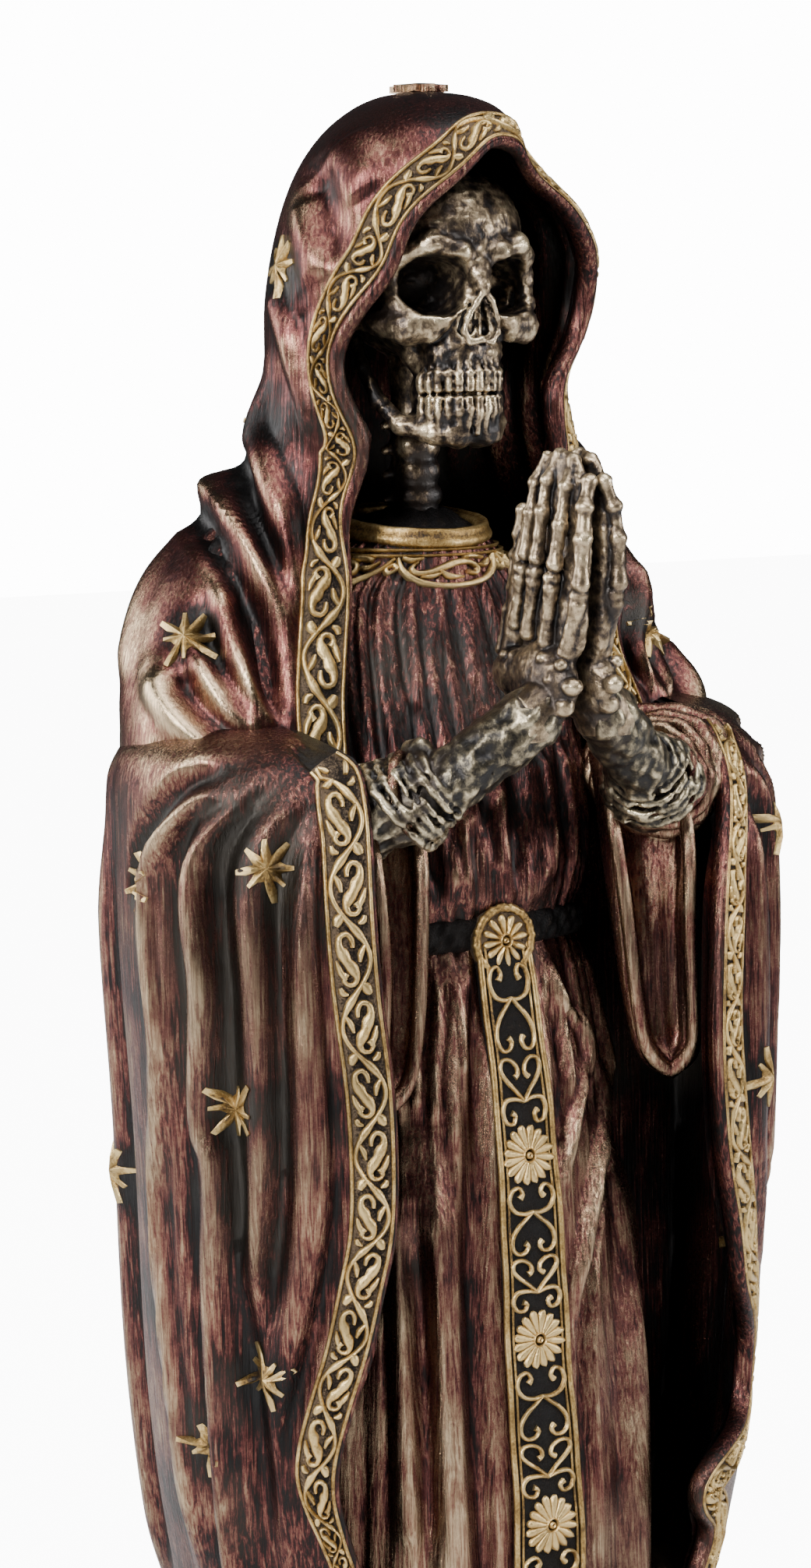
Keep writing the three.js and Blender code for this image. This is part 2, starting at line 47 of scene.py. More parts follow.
# Level outlines: height, half width, front reach, back reach, middle, squareness.
hoodRows = np.array([
    [150, 60, 20, 33, 2, 2.4],
    [160, 62, 20, 34, 3, 2.4],
    [175, 62, 20, 33, 5, 2.3],
    [190, 57, 22, 29, 11, 2.2],
    [200, 52, 23, 26, 13, 2.1],
    [208, 45, 22, 24, 12, 2],
    [216, 38, 20, 25, 9, 2],
    [224, 33.5, 19, 27, 6, 2],
    [234, 31.5, 19, 29, 3, 2],
    [250, 31, 20, 29, 2, 2],
    [262, 29.5, 21, 27, 1, 2],
    [272, 26, 23, 24, 1, 2],
    [279, 21.5, 22, 20, 1, 2],
    [284, 15.5, 17, 14.5, 2, 2],
    [287.2, 8.5, 9.5, 8, 3, 2],
    [288.6, 0, 0, 0, 4, 2],
])
mantleRows = np.array([
    [0, 53, 36, 44, 0, 2.5],
    [12, 56, 38, 45, 0, 2.5],
    [35, 60, 40, 45, -1, 2.5],
    [60, 62, 41, 45, -1, 2.5],
    [100, 64, 41, 43, -2, 2.5],
    [135, 66, 40, 42, -2, 2.5],
    [155, 66, 37, 41, -2, 2.5],
    [166, 65.5, 34, 40, -1, 2.4],
    [172, 62, 27, 37, 0, 2.3],
    [176, 51, 12, 28, 4, 2.2],
])
robeRows = np.array([
    [5, 38, 33, 34, 2, 2.2],
    [30, 36, 32, 32, 1, 2.2],
    [60, 34, 29, 30, 1, 2.2],
    [100, 31, 26, 27, 1, 2.2],
    [128, 29, 21, 24, 2, 2.2],
    [134, 27, 20, 22, 2, 2.2],
    [142, 29, 22, 24, 2, 2.2],
    [160, 31, 21, 26, 4, 2.2],
    [180, 31, 19, 26, 8, 2.2],
    [196, 27, 17.5, 22, 12, 2.1],
    [202, 20, 15.4, 17, 11, 2],
    [206, 15, 13.4, 14, 9.6, 2],
])
# Where the cloth's front edges run. Hood: height, reach to -X, reach to +X.
hoodEdge = np.array([
    [146, 31, 32],
    [169, 29.7, 30],
    [178, 29, 29],
    [185, 27, 28],
    [195, 24.7, 27],
    [203, 24, 26.1],
    [210, 24.3, 25],
    [217, 22, 24.1],
    [222, 20.6, 23.6],
    [226, 21.2, 23.6],
    [231, 24.2, 24.8],
    [238, 26.5, 27],
    [243, 25.6, 28],
    [249, 22.5, 27.6],
    [253, 19.2, 26.7],
    [257, 17.4, 25],
    [261, 16.9, 23],
    [264.5, 15.2, 20.6],
    [268, 12, 17.5],
    [272, 7, 13],
    [276, 3.2, 7.5],
    [279, 0, 0],
])
# Mantle: height, turn of the -X edge, turn of the +X edge.
mantleEdge = np.array([
    [0, 36, 36],
    [8, 37, 38],
    [14, 39, 40.5],
    [18, 40, 33],
    [22, 41, 29.3],
    [25, 42, 29],
    [28, 43, 32],
    [31, 43.8, 41],
    [34, 44.6, 56],
    [38, 45.2, 60],
    [44, 44.3, 60.5],
    [50, 42, 57],
    [55, 40, 51],
    [62, 37, 43.5],
    [68, 35, 41],
    [76, 32.8, 37.7],
    [84, 30.6, 34],
    [94, 29.6, 31],
    [112, 29.4, 28.6],
    [128, 30.4, 29],
    [140, 30.6, 30.2],
    [150, 30.2, 33],
    [157, 29.8, 35.5],
    [164, 30, 37.4],
    [170, 32, 40],
    [176, 50, 54],
])


def smoothStep(low, high, value):
    t = np.clip((np.asarray(value, float) - low) / (high - low), 0, 1)
    return t * t * (3 - 2 * t)


# Reads a table of rows at many keys, on one smooth curve. The last axis holds the values.
def readTable(rows, keys):
    rows = np.asarray(rows, float)
    keys = np.clip(np.asarray(keys, float), rows[0, 0], rows[-1, 0])
    i = np.clip(np.searchsorted(rows[:, 0], keys, side="right") - 1, 0, len(rows) - 2)
    before, here, there = rows[np.maximum(i - 1, 0)], rows[i], rows[i + 1]
    after = rows[np.minimum(i + 2, len(rows) - 1)]
    span = there[..., :1] - here[..., :1]
    t = (keys[..., None] - here[..., :1]) / span
    leave = (there - before)[..., 1:] / (there - before)[..., :1] * span
    arrive = (after - here)[..., 1:] / (after - here)[..., :1] * span
    t2, t3 = t * t, t * t * t
    return ((2 * t3 - 3 * t2 + 1) * here[..., 1:] + (t3 - 2 * t2 + t) * leave
            + (3 * t2 - 2 * t3) * there[..., 1:] + (t3 - t2) * arrive)


# Points of the level outlines. Turn 0 is the front, +90 is +X, 180 the back.
def outline(rows, turn, z, swell=0.0):
    halfWidth, front, back, middle, squareness = np.moveaxis(readTable(rows, z), -1, 0)
    s, c = np.sin(np.radians(turn)), np.cos(np.radians(turn))
    power = 2 / squareness
    reach = np.where(c > 0, front, back)
    x = (halfWidth + swell) * np.sign(s) * np.abs(s) ** power
    y = middle - (reach + swell) * np.sign(c) * np.abs(c) ** power
    return np.stack([x, y, np.broadcast_to(z, np.shape(x))], axis=-1)


# How far outside a set of outlines a point is, as a share: 0 is on the surface.
def outsideOf(rows, points):
    halfWidth, front, back, middle, squareness = np.moveaxis(readTable(rows, points[..., 2]), -1, 0)
    x = points[..., 0] / np.maximum(halfWidth, 0.5)
    y = middle - points[..., 1]
    y = y / np.maximum(np.where(y > 0, front, back), 0.5)
    return (np.abs(x) ** squareness + np.abs(y) ** squareness) ** (1 / squareness) - 1


def outward(rows, points):
    step = 0.05
    slope = np.stack([
        outsideOf(rows, points + np.eye(3)[k] * step) - outsideOf(rows, points - np.eye(3)[k] * step)
        for k in range(3)
    ], axis=-1) / (2 * step)
    return slope


# Moves points onto the surface along its slope.
def settle(rows, points, rounds=4):
    for _ in range(rounds):
        slope = outward(rows, points)
        size = np.maximum((slope * slope).sum(-1, keepdims=True), 1e-9)
        points = points - slope * (outsideOf(rows, points)[..., None] / size)
    return points


def unit(vectors):
    return vectors / np.maximum(np.linalg.norm(vectors, axis=-1, keepdims=True), 1e-9)


# Turn angle at which an outline reaches x at its front.
def turnAt(rows, x, z):
    row = readTable(rows, z)
    share = np.minimum(1, np.abs(x) / row[..., 0])
    return np.degrees(np.sign(x) * np.arcsin(share ** (row[..., 4] / 2)))


# Spreads points evenly along a polyline.
def evenly(points, count):
    points = np.asarray(points, float)
    run = np.r_[0, np.cumsum(np.linalg.norm(np.diff(points, axis=0), axis=1))]
    at = np.linspace(0, run[-1], count)
    return np.stack([np.interp(at, run, points[:, k]) for k in range(points.shape[1])], axis=1)


# A smooth curve through a few points.
def curveThrough(points, count):
    points = np.asarray(points, float)
    run = np.r_[0, np.cumsum(np.linalg.norm(np.diff(points[:, :3], axis=0), axis=1))]
    rows = np.concatenate([run[:, None], points], axis=1)
    return readTable(rows, np.linspace(0, run[-1], count))


def softened(points, rounds):
    for _ in range(rounds):
        points = points.copy()
        points[1:-1] = points[1:-1] * 0.5 + (points[:-2] + points[2:]) * 0.25
    return points


# Distance from every point to the nearest of a polyline's segments, and how far along it.
def nearLine(points, line):
    best = np.full(points.shape[:-1], 1e9)
    share = np.zeros(points.shape[:-1])
    count = len(line) - 1
    for i in range(count):
        a, along = line[i], line[i + 1] - line[i]
        t = np.clip(((points - a) @ along) / max(float(along @ along), 1e-9), 0, 1)
        gap = np.linalg.norm(points - (a + t[..., None] * along), axis=-1)
        closer = gap < best
        best = np.where(closer, gap, best)
        share = np.where(closer, (i + t) / count, share)
    return best, share


def deselectAll():
    if bpy.context.object and bpy.context.object.mode != "OBJECT":
        bpy.ops.object.mode_set(mode="OBJECT")
    bpy.ops.object.select_all(action="DESELECT")


# A flat grid to be shaped: gives the object and each vertex's two shares.
def freshGrid(name, across, down):
    deselectAll()
    bpy.ops.mesh.primitive_grid_add(x_subdivisions=across, y_subdivisions=down, size=1)
    piece = bpy.context.object
    piece.name = name
    piece.data.name = name
    corners = readPoints(piece) / 1000
    return piece, corners[:, 0] + 0.5, corners[:, 1] + 0.5


def readPoints(piece):
    flat = np.empty(len(piece.data.vertices) * 3)
    piece.data.vertices.foreach_get("co", flat)
    return flat.reshape(-1, 3) / mm


def movePoints(piece, points):
    piece.data.vertices.foreach_set("co", (np.asarray(points) * mm).ravel())
    piece.data.update()


def readNormals(piece):
    flat = np.empty(len(piece.data.vertices) * 3)
    piece.data.vertices.foreach_get("normal", flat)
    return flat.reshape(-1, 3)


# A mesh from points and faces that were worked out together.
def meshFrom(name, points, faces):
    mesh = bpy.data.meshes.new(name)
    mesh.from_pydata([tuple(p) for p in np.asarray(points) * mm], [], [tuple(f) for f in faces])
    mesh.update()
    piece = bpy.data.objects.new(name, mesh)
    bpy.context.collection.objects.link(piece)
    return piece


def weldSeams(piece, gap=0.01, turnOut=False):
    deselectAll()
    piece.select_set(True)
    bpy.context.view_layer.objects.active = piece
    bpy.ops.object.mode_set(mode="EDIT")
    bpy.ops.mesh.select_all(action="SELECT")
    bpy.ops.mesh.remove_doubles(threshold=gap * mm)
    if turnOut:
        bpy.ops.mesh.normals_make_consistent(inside=False)
    bpy.ops.object.mode_set(mode="OBJECT")


def smoothFaces(piece, angle=60):
    deselectAll()
    piece.select_set(True)
    bpy.context.view_layer.objects.active = piece
    bpy.ops.object.shade_smooth_by_angle(angle=math.radians(angle))


def joinPieces(pieces, name):
    deselectAll()
    for piece in pieces:
        piece.select_set(True)
    bpy.context.view_layer.objects.active = pieces[0]
    if len(pieces) > 1:
        bpy.ops.object.join()
    joined = bpy.context.view_layer.objects.active
    joined.name = name
    joined.data.name = name
    return joined


# Averages of each vertex's neighbours, over and over: the shape without its small relief.
def calmed(points, edges, rounds):
    count = len(points)
    ends = np.concatenate([edges[:, 0], edges[:, 1]])
    others = np.concatenate([edges[:, 1], edges[:, 0]])
    share = np.maximum(np.bincount(ends, minlength=count), 1)[:, None]
    for _ in range(rounds):
        total = np.stack([np.bincount(ends, points[others, k], count) for k in range(3)], axis=1)
        points = points * 0.3 + total / share * 0.7
    return points


# Stores how far each point stands out of its surroundings: 0.5 is level, 1 a rubbed ridge. Low values stand
# for the dark wash and, across wide hollows and the gaps between parts, painted shade; high values stand for
# rubbing and painted highlight. The extra shifts it by place or by piece.
def markWearAndPaintedLight(piece, passes, extra=0.0):
    points, normals = readPoints(piece), readNormals(piece)
    edges = np.empty(len(piece.data.edges) * 2, int)
    piece.data.edges.foreach_get("vertices", edges)
    edges = edges.reshape(-1, 2)
    height = np.zeros(len(points))
    calm, done = points, 0
    for rounds, full in passes:
        calm = calmed(calm, edges, rounds - done)
        done = rounds
        height += np.clip(((points - calm) * normals).sum(1) / full, -1, 1)
    wearAndPaintedLight = np.clip(0.5 + 0.5 * height / max(len(passes), 1) + extra, 0, 1)
    layer = piece.data.attributes.new("wearAndPaintedLight", "FLOAT", "POINT")
    layer.data.foreach_set("value", wearAndPaintedLight.astype(np.float32))


def finishPiece(piece, material):
    piece.data.materials.clear()
    piece.data.materials.append(material)
    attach(piece, "root")
    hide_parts("figure")


# Adds up fold lines. Each is a height, a half width and a line of points on the cloth.
def foldHeights(points, folds):
    total = np.zeros(len(points))
    for height, width, line in folds:
        line = curveThrough(line, max(8, len(line) * 4))
        low, high = line.min(0) - width * 1.3, line.max(0) + width * 1.3
        near = np.flatnonzero(((points > low) & (points < high)).all(1))
        if not len(near):
            continue
        gap, share = nearLine(points[near], line)
        rise = np.clip(1 - (gap / width) ** 2, 0, 1) ** 1.5
        rise *= 0.25 + 0.75 * smoothStep(0, 0.16, share) * (1 - smoothStep(0.86, 1, share))
        total[near] += height * rise
    return total


def mirrored(folds, shrink=1.0):
    return [(height * shrink, width, [(-x, y, z) for x, y, z in line]) for height, width, line in folds]


# Long hanging folds: turn at the top, turn at the foot, top, foot, half width, height.
def hangingFolds(rows, hangs):
    folds = []
    for top, foot, high, low, width, height in hangs:
        z = np.linspace(high, low, 7)
        turn = top + (foot - top) * np.linspace(0, 1, 7)
        folds.append((height, width, outline(rows, turn, z)))
    return folds


# The view that the cloth's lines were picked in, from the photograph: a column and a row each.
pickView = {"turn": -33, "lift": 8, "distance": 650, "aim": (0, 0, 145), "roll": -1.0,
            "focal": 4374.5, "centreX": 570, "centreY": 1112}


# A view's directions to the right, upwards and back towards the eye.
def viewAxes(view):
    turn, lift, roll = (math.radians(view[key]) for key in ("turn", "lift", "roll"))
    back = np.array([math.sin(turn) * math.cos(lift), -math.cos(turn) * math.cos(lift), math.sin(lift)])
    right = np.array([math.cos(turn), math.sin(turn), 0])
    up = np.cross(back, right)
    return right * math.cos(roll) + up * math.sin(roll), up * math.cos(roll) - right * math.sin(roll), back


# Where the line of sight through a pick meets the cloth, or grazes it.
def pickedOn(rows, column, row):
    right, up, back = viewAxes(pickView)
    eye = np.array(pickView["aim"]) + back * pickView["distance"]
    across, down = column - pickView["centreX"], row - pickView["centreY"]
    way = (right * across - up * down) / pickView["focal"] - back
    points = eye + np.linspace(0.8, 1.2, 1301)[:, None] * pickView["distance"] * way
    beyond = outsideOf(rows, points)
    beyond[(points[:, 2] < rows[0, 0]) | (points[:, 2] > rows[-1, 0] - 0.5)] = 9
    met = np.flatnonzero((beyond[:-1] > 0) & (beyond[:-1] < 9) & (beyond[1:] <= 0))
    if not len(met):
        return settle(rows, points[np.argmin(beyond)])
    before, after = beyond[met[0]], beyond[met[0] + 1]
    return points[met[0]] + (points[met[0] + 1] - points[met[0]]) * before / (before - after)


# Two numbers are a pick, and three are a place in millimetres.
def placeOn(rows, at):
    return tuple(pickedOn(rows, *at)) if len(at) == 2 else at


def foldsOn(rows, folds):
    return [(height, width, [placeOn(rows, at) for at in line]) for height, width, line in folds]


clothRows = {"hood": hoodRows, "mantle": mantleRows}
# Folds, each a height, a half width and a line of picks or places from the top down.
hoodFolds = foldsOn(hoodRows, [
    (-2.2, 5.5, [(-25, -0.2, 272.5), (-26.7, -5, 267), (-26.4, -8.2, 261.5), (-25, -11, 257)]),
    (1.4, 7, [(440, 190), (462, 232), (478, 262)]),
    (1.2, 5, [(385, 265), (398, 330), (412, 372)]),
    (2.0, 4, [(352, 375), (363, 420), (380, 470), (400, 520), (412, 560)]),
    (-1.6, 3.2, [(392, 400), (402, 450), (415, 500)]),
    (2.4, 4.4, [(345, 480), (335, 560), (342, 610), (360, 660), (378, 715), (390, 780),
                (-33.4, -7.5, 186)]),
    (-2.0, 3.6, [(318, 520), (312, 580), (318, 640), (340, 700), (362, 760), (378, 830), (-36, -9, 178)]),
    (3.2, 4.4, [(-31, 26, 222), (268, 630), (288, 665), (315, 712), (340, 757), (362, 805), (375, 850),
                (384, 920)]),
    (-3.2, 4.6, [(-40, 20, 211), (262, 680), (288, 712), (318, 765), (338, 815), (350, 870), (358, 940)]),
    (2.0, 3.2, [(285, 745), (290, 805), (305, 855), (330, 910), (347, 955)]),
    (-2.2, 3.4, [(262, 790), (275, 845), (300, 895), (325, 935), (342, 965)]),
    (2.0, 3, [(252, 840), (278, 880), (305, 918), (338, 965)]),
    (-2.6, 3.8, [(225, 865), (240, 898), (268, 934), (300, 958), (340, 975)]),
    (2.6, 4.6, [(195, 865), (215, 905), (245, 940), (290, 968), (338, 985)]),
])
mantleFolds = foldsOn(mantleRows, [
    (-3.0, 4, [(300, 1000), (255, 1004), (215, 1035), (188, 1075), (178, 1120), (176, 1180)]),
    (2.6, 3.6, [(345, 1005), (290, 1014), (240, 1040), (205, 1085), (192, 1140), (196, 1240),
                (207, 1345), (207, 1548), (225, 1755), (238, 1858), (-57, -2, 14)]),
    (-2.6, 3.4, [(350, 1012), (300, 1030), (255, 1060), (230, 1100), (222, 1160), (228, 1260),
                 (233, 1342), (243, 1548), (259, 1755), (268, 1860), (-57, -9, 16)]),
    (2.9, 3.8, [(360, 1015), (310, 1032), (270, 1065), (252, 1110), (250, 1180), (261, 1269),
                (261, 1445), (277, 1497), (277, 1651), (287, 1858), (302, 2005), (-54, -11, 0)]),
    (-2.6, 3.6, [(380, 1012), (330, 1045), (292, 1090), (280, 1140), (285, 1220), (290, 1290),
                 (295, 1445), (305, 1548), (316, 1703), (331, 1858), (-53, -20, 20)]),
    (2.2, 4, [(395, 1015), (350, 1060), (330, 1110), (325, 1170), (329, 1228), (336, 1342), (339, 1445),
              (334, 1548), (321, 1651), (325, 1720)]),
    (-1.8, 3.8, [(408, 1030), (375, 1090), (362, 1160), (360, 1290), (362, 1445), (357, 1600),
                 (347, 1755)]),
    (1.8, 4.6, [(420, 1040), (395, 1110), (388, 1190), (388, 1264), (393, 1445), (398, 1548),
                (383, 1651), (362, 1755), (350, 1850)]),
    (-1.8, 3.2, [(412, 1075), (420, 1187), (432, 1342), (443, 1497), (428, 1640), (400, 1750),
                 (378, 1860), (400, 1940)]),
])
# Folds nobody can see from the front: turn at the top and foot, heights, half width, height.
hoodBackHangs = [
    (150, 138, 262, 170, 9, 2.4), (-150, -138, 262, 170, 9, 2.4), (180, 180, 255, 165, 9, 2.2),
    (168, 158, 240, 158, 7, -2.0), (-168, -158, 240, 158, 7, -2.0),
    (128, 116, 244, 176, 8, -2.0), (-128, -116, 244, 176, 8, -2.0),
    (112, 104, 232, 180, 7, 2.0), (-112, -104, 232, 180, 7, 2.0),
]
mantleBackHangs = [
    (turn, turn + lean, 164, foot, width, height)
    for turn, lean, foot, width, height in [
        (100, 1, 4, 5, 2.4), (108, 2, 12, 4.5, -2.4), (117, 2, 0, 5.5, 2.8), (126, 0, 10, 5, -2.6),
        (135, -2, 0, 6, 2.8), (145, -2, 16, 5, -2.4), (154, -1, 0, 6, 2.6), (163, 0, 10, 5, -2.4),
        (172, 0, 0, 6, 2.8), (181, 0, 14, 5, -2.4), (190, 0, 0, 6, 2.6), (199, 1, 10, 5, -2.4),
        (208, 2, 0, 6, 2.8), (217, 2, 12, 5, -2.6), (226, 2, 0, 6, 2.8), (236, 0, 10, 5, -2.4),
        (245, -1, 0, 5.5, 2.6), (254, -2, 8, 4.5, -2.2),
    ]
]

# Where the two gold rims of each hem run: height, inner and outer distance from the edge.
hoodBand = np.array([
    [150, 0.6, 9.0], [200, 0.6, 9.0], [207, 1.0, 7.4], [214, 1.8, 6.8], [222, 1.9, 8.0], [230, 2.1, 6.0],
    [238, 1.9, 5.6], [245, 2.2, 6.8], [252, 2.2, 8.4], [262, 1.9, 8.0], [268, 1.6, 7.4], [274, 1.2, 7.0],
    [279, 1.0, 6.8],
])
nearBand = np.array([
    [0, 0.6, 4.4], [24, 0.6, 4.2], [31, 0.6, 4.8], [36, 0.6, 5.8], [42, 0.6, 7.2], [60, 0.6, 7.5],
    [90, 0.6, 8.0], [130, 0.6, 8.4], [156, 0.6, 8.6], [163, 0.6, 8.8], [172, 0.6, 7.5],
])
farBand = np.array([
    [0, 0.6, 6.8], [60, 0.6, 7.4], [88, 0.6, 8.2], [103, 0.6, 7.5], [120, 0.6, 6.4], [138, 0.6, 6.6],
    [147, 0.6, 6.0], [172, 0.6, 5.8],
])

cloth = {
    "thickness": 3.2,
    "hoodAcross": 270,
    "hoodDown": 204,
    "mantleAcross": 312,
    "mantleDown": 188,
    "hoodBottom": 150,
    "hoodTop": 288.6,
    "mantleTop": 176,
    "openingTop": 279,
    "recess": 7,
}


# The hood's front edge, from its foot on the -X side over the top to its foot on the +X side.
def hoodEdgeLine(count):
    z = np.linspace(156, 279, 500)
    reach = readTable(hoodEdge, z)
    near = outline(hoodRows, turnAt(hoodRows, -reach[:, 0], z), z)
    far = outline(hoodRows, turnAt(hoodRows, reach[:, 1], z), z)
    line = evenly(np.concatenate([near, far[::-1]]), 400)
    return evenly(settle(hoodRows, softened(line, 40)), count)


# The mantle's front edge on one side, from the forearm down to the ground.
def mantleEdgeLine(side, count):
    z = np.linspace(171, 0.2, 400)
    turn = readTable(mantleEdge, z)[:, 0 if side < 0 else 1] * side
    line = evenly(outline(mantleRows, turn, z), 300)
    return evenly(settle(mantleRows, softened(line, 30)), count)


# Lays out a strip along an edge: place and outward direction at each step and distance.
# The distance runs across the cloth, away from its edge, and starts a little outside it.
def layStrip(rows, line, away, band, first=-1.5, last=11.0, step=0.5):
    def across(points):
        along = unit(np.gradient(points, axis=0))
        side = np.cross(unit(outward(rows, points)), along)
        return unit(side) * away
    places = [line]
    for _ in np.arange(0, last, step):
        ahead = settle(rows, places[-1] + across(places[-1]) * step, 2)
        ahead[1:-1] = ahead[1:-1] * 0.6 + (ahead[:-2] + ahead[2:]) * 0.2
        places.append(ahead)
    start = across(line)
    for i in range(1, int(round(-first / step)) + 1):
        places.insert(0, line - start * step * i)
    places = np.stack(places, axis=1)
    normals = unit(outward(rows, places))
    run = np.r_[0, np.cumsum(np.linalg.norm(np.diff(line, axis=0), axis=1))]
    inner, outer = readTable(band, line[:, 2]).T
    if rows is hoodRows:
        far = smoothStep(-2, 12, line[:, 0])
        inner, outer = inner + (1.8 - inner) * far, outer + (8.3 - outer) * far
    return {"places": places, "normals": normals, "run": run, "first": first, "step": step, "line": line,
            "inner": inner, "outer": outer}


# Distances of the two rims from the edge at a length along a strip.
def rimsAt(strip, along):
    return np.interp(along, strip["run"], strip["inner"]), np.interp(along, strip["run"], strip["outer"])


# How far points are from a strip's edge, and where its outer rim is beside them.
def besideStrip(strip, points):
    gap, share = nearLine(points, evenly(strip["line"], 110))
    return gap, rimsAt(strip, share * strip["run"][-1])[1]


# Place on a strip: length along it, distance from the edge, height off the cloth.
def onStrip(strip, along, distance, height):
    along, distance, height = np.broadcast_arrays(*(np.asarray(a, float) for a in (along, distance, height)))
    rows = np.interp(along, strip["run"], np.arange(len(strip["run"])))
    columns = (distance - strip["first"]) / strip["step"]
    i = np.clip(rows.astype(int), 0, strip["places"].shape[0] - 2)
    k = np.clip(columns.astype(int), 0, strip["places"].shape[1] - 2)
    a, b = (rows - i)[..., None], (columns - k)[..., None]

    def mix(field):
        return ((1 - a) * ((1 - b) * field[i, k] + b * field[i, k + 1])
                + a * ((1 - b) * field[i + 1, k] + b * field[i + 1, k + 1]))
    return mix(strip["places"]) + unit(mix(strip["normals"])) * height[..., None]


hoodStrip = layStrip(hoodRows, hoodEdgeLine(700), 1, hoodBand)
nearStrip = layStrip(mantleRows, mantleEdgeLine(-1, 420), -1, nearBand)
farStrip = layStrip(mantleRows, mantleEdgeLine(1, 420), 1, farBand)
print("edges laid out")


# Rows between heights, closer together at the crown.
def hoodHeights(v):
    low, top = cloth["hoodBottom"], cloth["hoodTop"]
    return low + (top - low) * np.sin(v * math.pi / 2) ** 0.9


def hoodTurns(u, z):
    reach = readTable(hoodEdge, z)
    start = turnAt(hoodRows, reach[:, 1], z)
    end = 360 - np.abs(turnAt(hoodRows, -reach[:, 0], z))
    closed = z >= cloth["openingTop"]
    start, end = np.where(closed, 0, start), np.where(closed, 360, end)
    return start + (end - start) * (u - 0.6 * np.sin(2 * math.pi * u) / (2 * math.pi))


# The far side of the hood's mouth: height, and how far it stands out past the even shape.
hoodLean = np.array([
    [172, 0], [178, -2.4], [182.5, -4.6], [186, -4.4], [190, -1.8], [195, 0], [222, 0], [228.5, -1.8],
    [233, -3], [237, -2.4], [244, 1.2], [252, 3.4], [258, 4], [262, 3.2], [267, 0.8], [272, -3.8],
    [276, -6.4], [280, -6.6], [285, -2.8], [288.6, 0],
])


def leanHood(piece):
    points = readPoints(piece)
    low = smoothStep(215, 200, points[:, 2])
    side = smoothStep(3, 18, points[:, 0] - 28 * low) * smoothStep(20, -6, points[:, 1] - 22 * low)
    points[:, 0] += readTable(hoodLean, points[:, 2])[:, 0] * side
    movePoints(piece, points)


def makeHood():
    piece, u, v = freshGrid("hood", cloth["hoodAcross"], cloth["hoodDown"])
    z = hoodHeights(v)
    base = outline(hoodRows, hoodTurns(u, z), z)
    facing = unit(outward(hoodRows, base))
    facing[z > 288.4] = (0, 0, 1)
    gap, outer = besideStrip(hoodStrip, base)
    calm = smoothStep(outer - 1, outer + 5, gap)
    folds = hoodFolds + mirrored(hoodFolds) + hangingFolds(hoodRows, hoodBackHangs)
    rise = foldHeights(base, folds) * calm * (1 - smoothStep(279, 287, z))
    sunk = 0.9 * (1 - smoothStep(outer - 0.9, outer + 0.2, gap))
    movePoints(piece, base + facing * (rise - sunk)[:, None])
    weldSeams(piece, 0.02)
    leanHood(piece)
    smoothFaces(piece)
    return piece


# The columns follow the two front edges near them only, so the back hangs straight.
def mantleTurns(u, z):
    edge = readTable(mantleEdge, z)
    plain = 34 + 292 * (u - 0.55 * np.sin(4 * math.pi * u) / (4 * math.pi))
    return plain + (edge[:, 1] - 34) * (1 - smoothStep(0, 0.3, u)) - (edge[:, 0] - 34) * smoothStep(0.7, 1, u)


def makeMantle():
    piece, u, v = freshGrid("mantle", cloth["mantleAcross"], cloth["mantleDown"])
    z = cloth["mantleTop"] * v ** 0.85
    base = outline(mantleRows, mantleTurns(u, z), z)
    facing = unit(outward(mantleRows, base))
    nearGap, nearOuter = besideStrip(nearStrip, base)
    farGap, farOuter = besideStrip(farStrip, base)
    gap = np.minimum(nearGap - nearOuter, farGap - farOuter)
    folds = mantleFolds + mirrored(mantleFolds) + hangingFolds(mantleRows, mantleBackHangs)
    rise = foldHeights(base, folds) * smoothStep(-1, 4, gap)
    sunk = 0.9 * (1 - smoothStep(-0.9, 0.2, gap))
    facing[z < 6, 2] = 0
    moved = base + facing * (rise - sunk)[:, None]
    moved[:, 2] = np.maximum(moved[:, 2], 0)
    movePoints(piece, moved)
    smoothFaces(piece)
    return piece


def makeLinings():
    piece, u, v = freshGrid("hoodLining", 130, 76)
    u = 1 - u
    z = hoodHeights(v)
    turn = hoodTurns(u, z)
    base = outline(hoodRows, turn, z)
    thick = cloth["thickness"]
    inner = outline(hoodRows, turn, z, -np.minimum(thick, readTable(hoodRows, z)[:, 0]))
    inner[:, 1] = np.minimum(inner[:, 1], cloth["recess"] + 60 * smoothStep(201, 213, z))
    inner[:, 2] -= thick * smoothStep(262, 288.6, z)
    ripple = 0.8 * np.sin(np.radians(turn) * 22 + z * 0.05) * smoothStep(4, 18, np.abs(base[:, 0]))
    inner[:, 0] -= ripple * np.sign(inner[:, 0]) * (1 - smoothStep(262, 276, z))
    movePoints(piece, inner)
    weldSeams(piece, 0.02)
    leanHood(piece)
    smoothFaces(piece)

    lower, u, v = freshGrid("mantleLining", 130, 70)
    u = 1 - u
    z = cloth["mantleTop"] * v ** 0.85
    inner = outline(mantleRows, mantleTurns(u, z), z, -thick)
    depth = inner[:, 1] - cloth["recess"]
    inner[:, 1] = np.minimum(inner[:, 1], cloth["recess"])
    ripple = np.sin(np.radians(mantleTurns(u, z)) * 20 + z * 0.03)
    ripple = ripple * smoothStep(0, -8, depth) * (1 - smoothStep(150, 170, z))
    inner[:, 0] -= ripple * np.sign(inner[:, 0])
    movePoints(lower, inner)
    smoothFaces(lower)
    return [piece, lower]


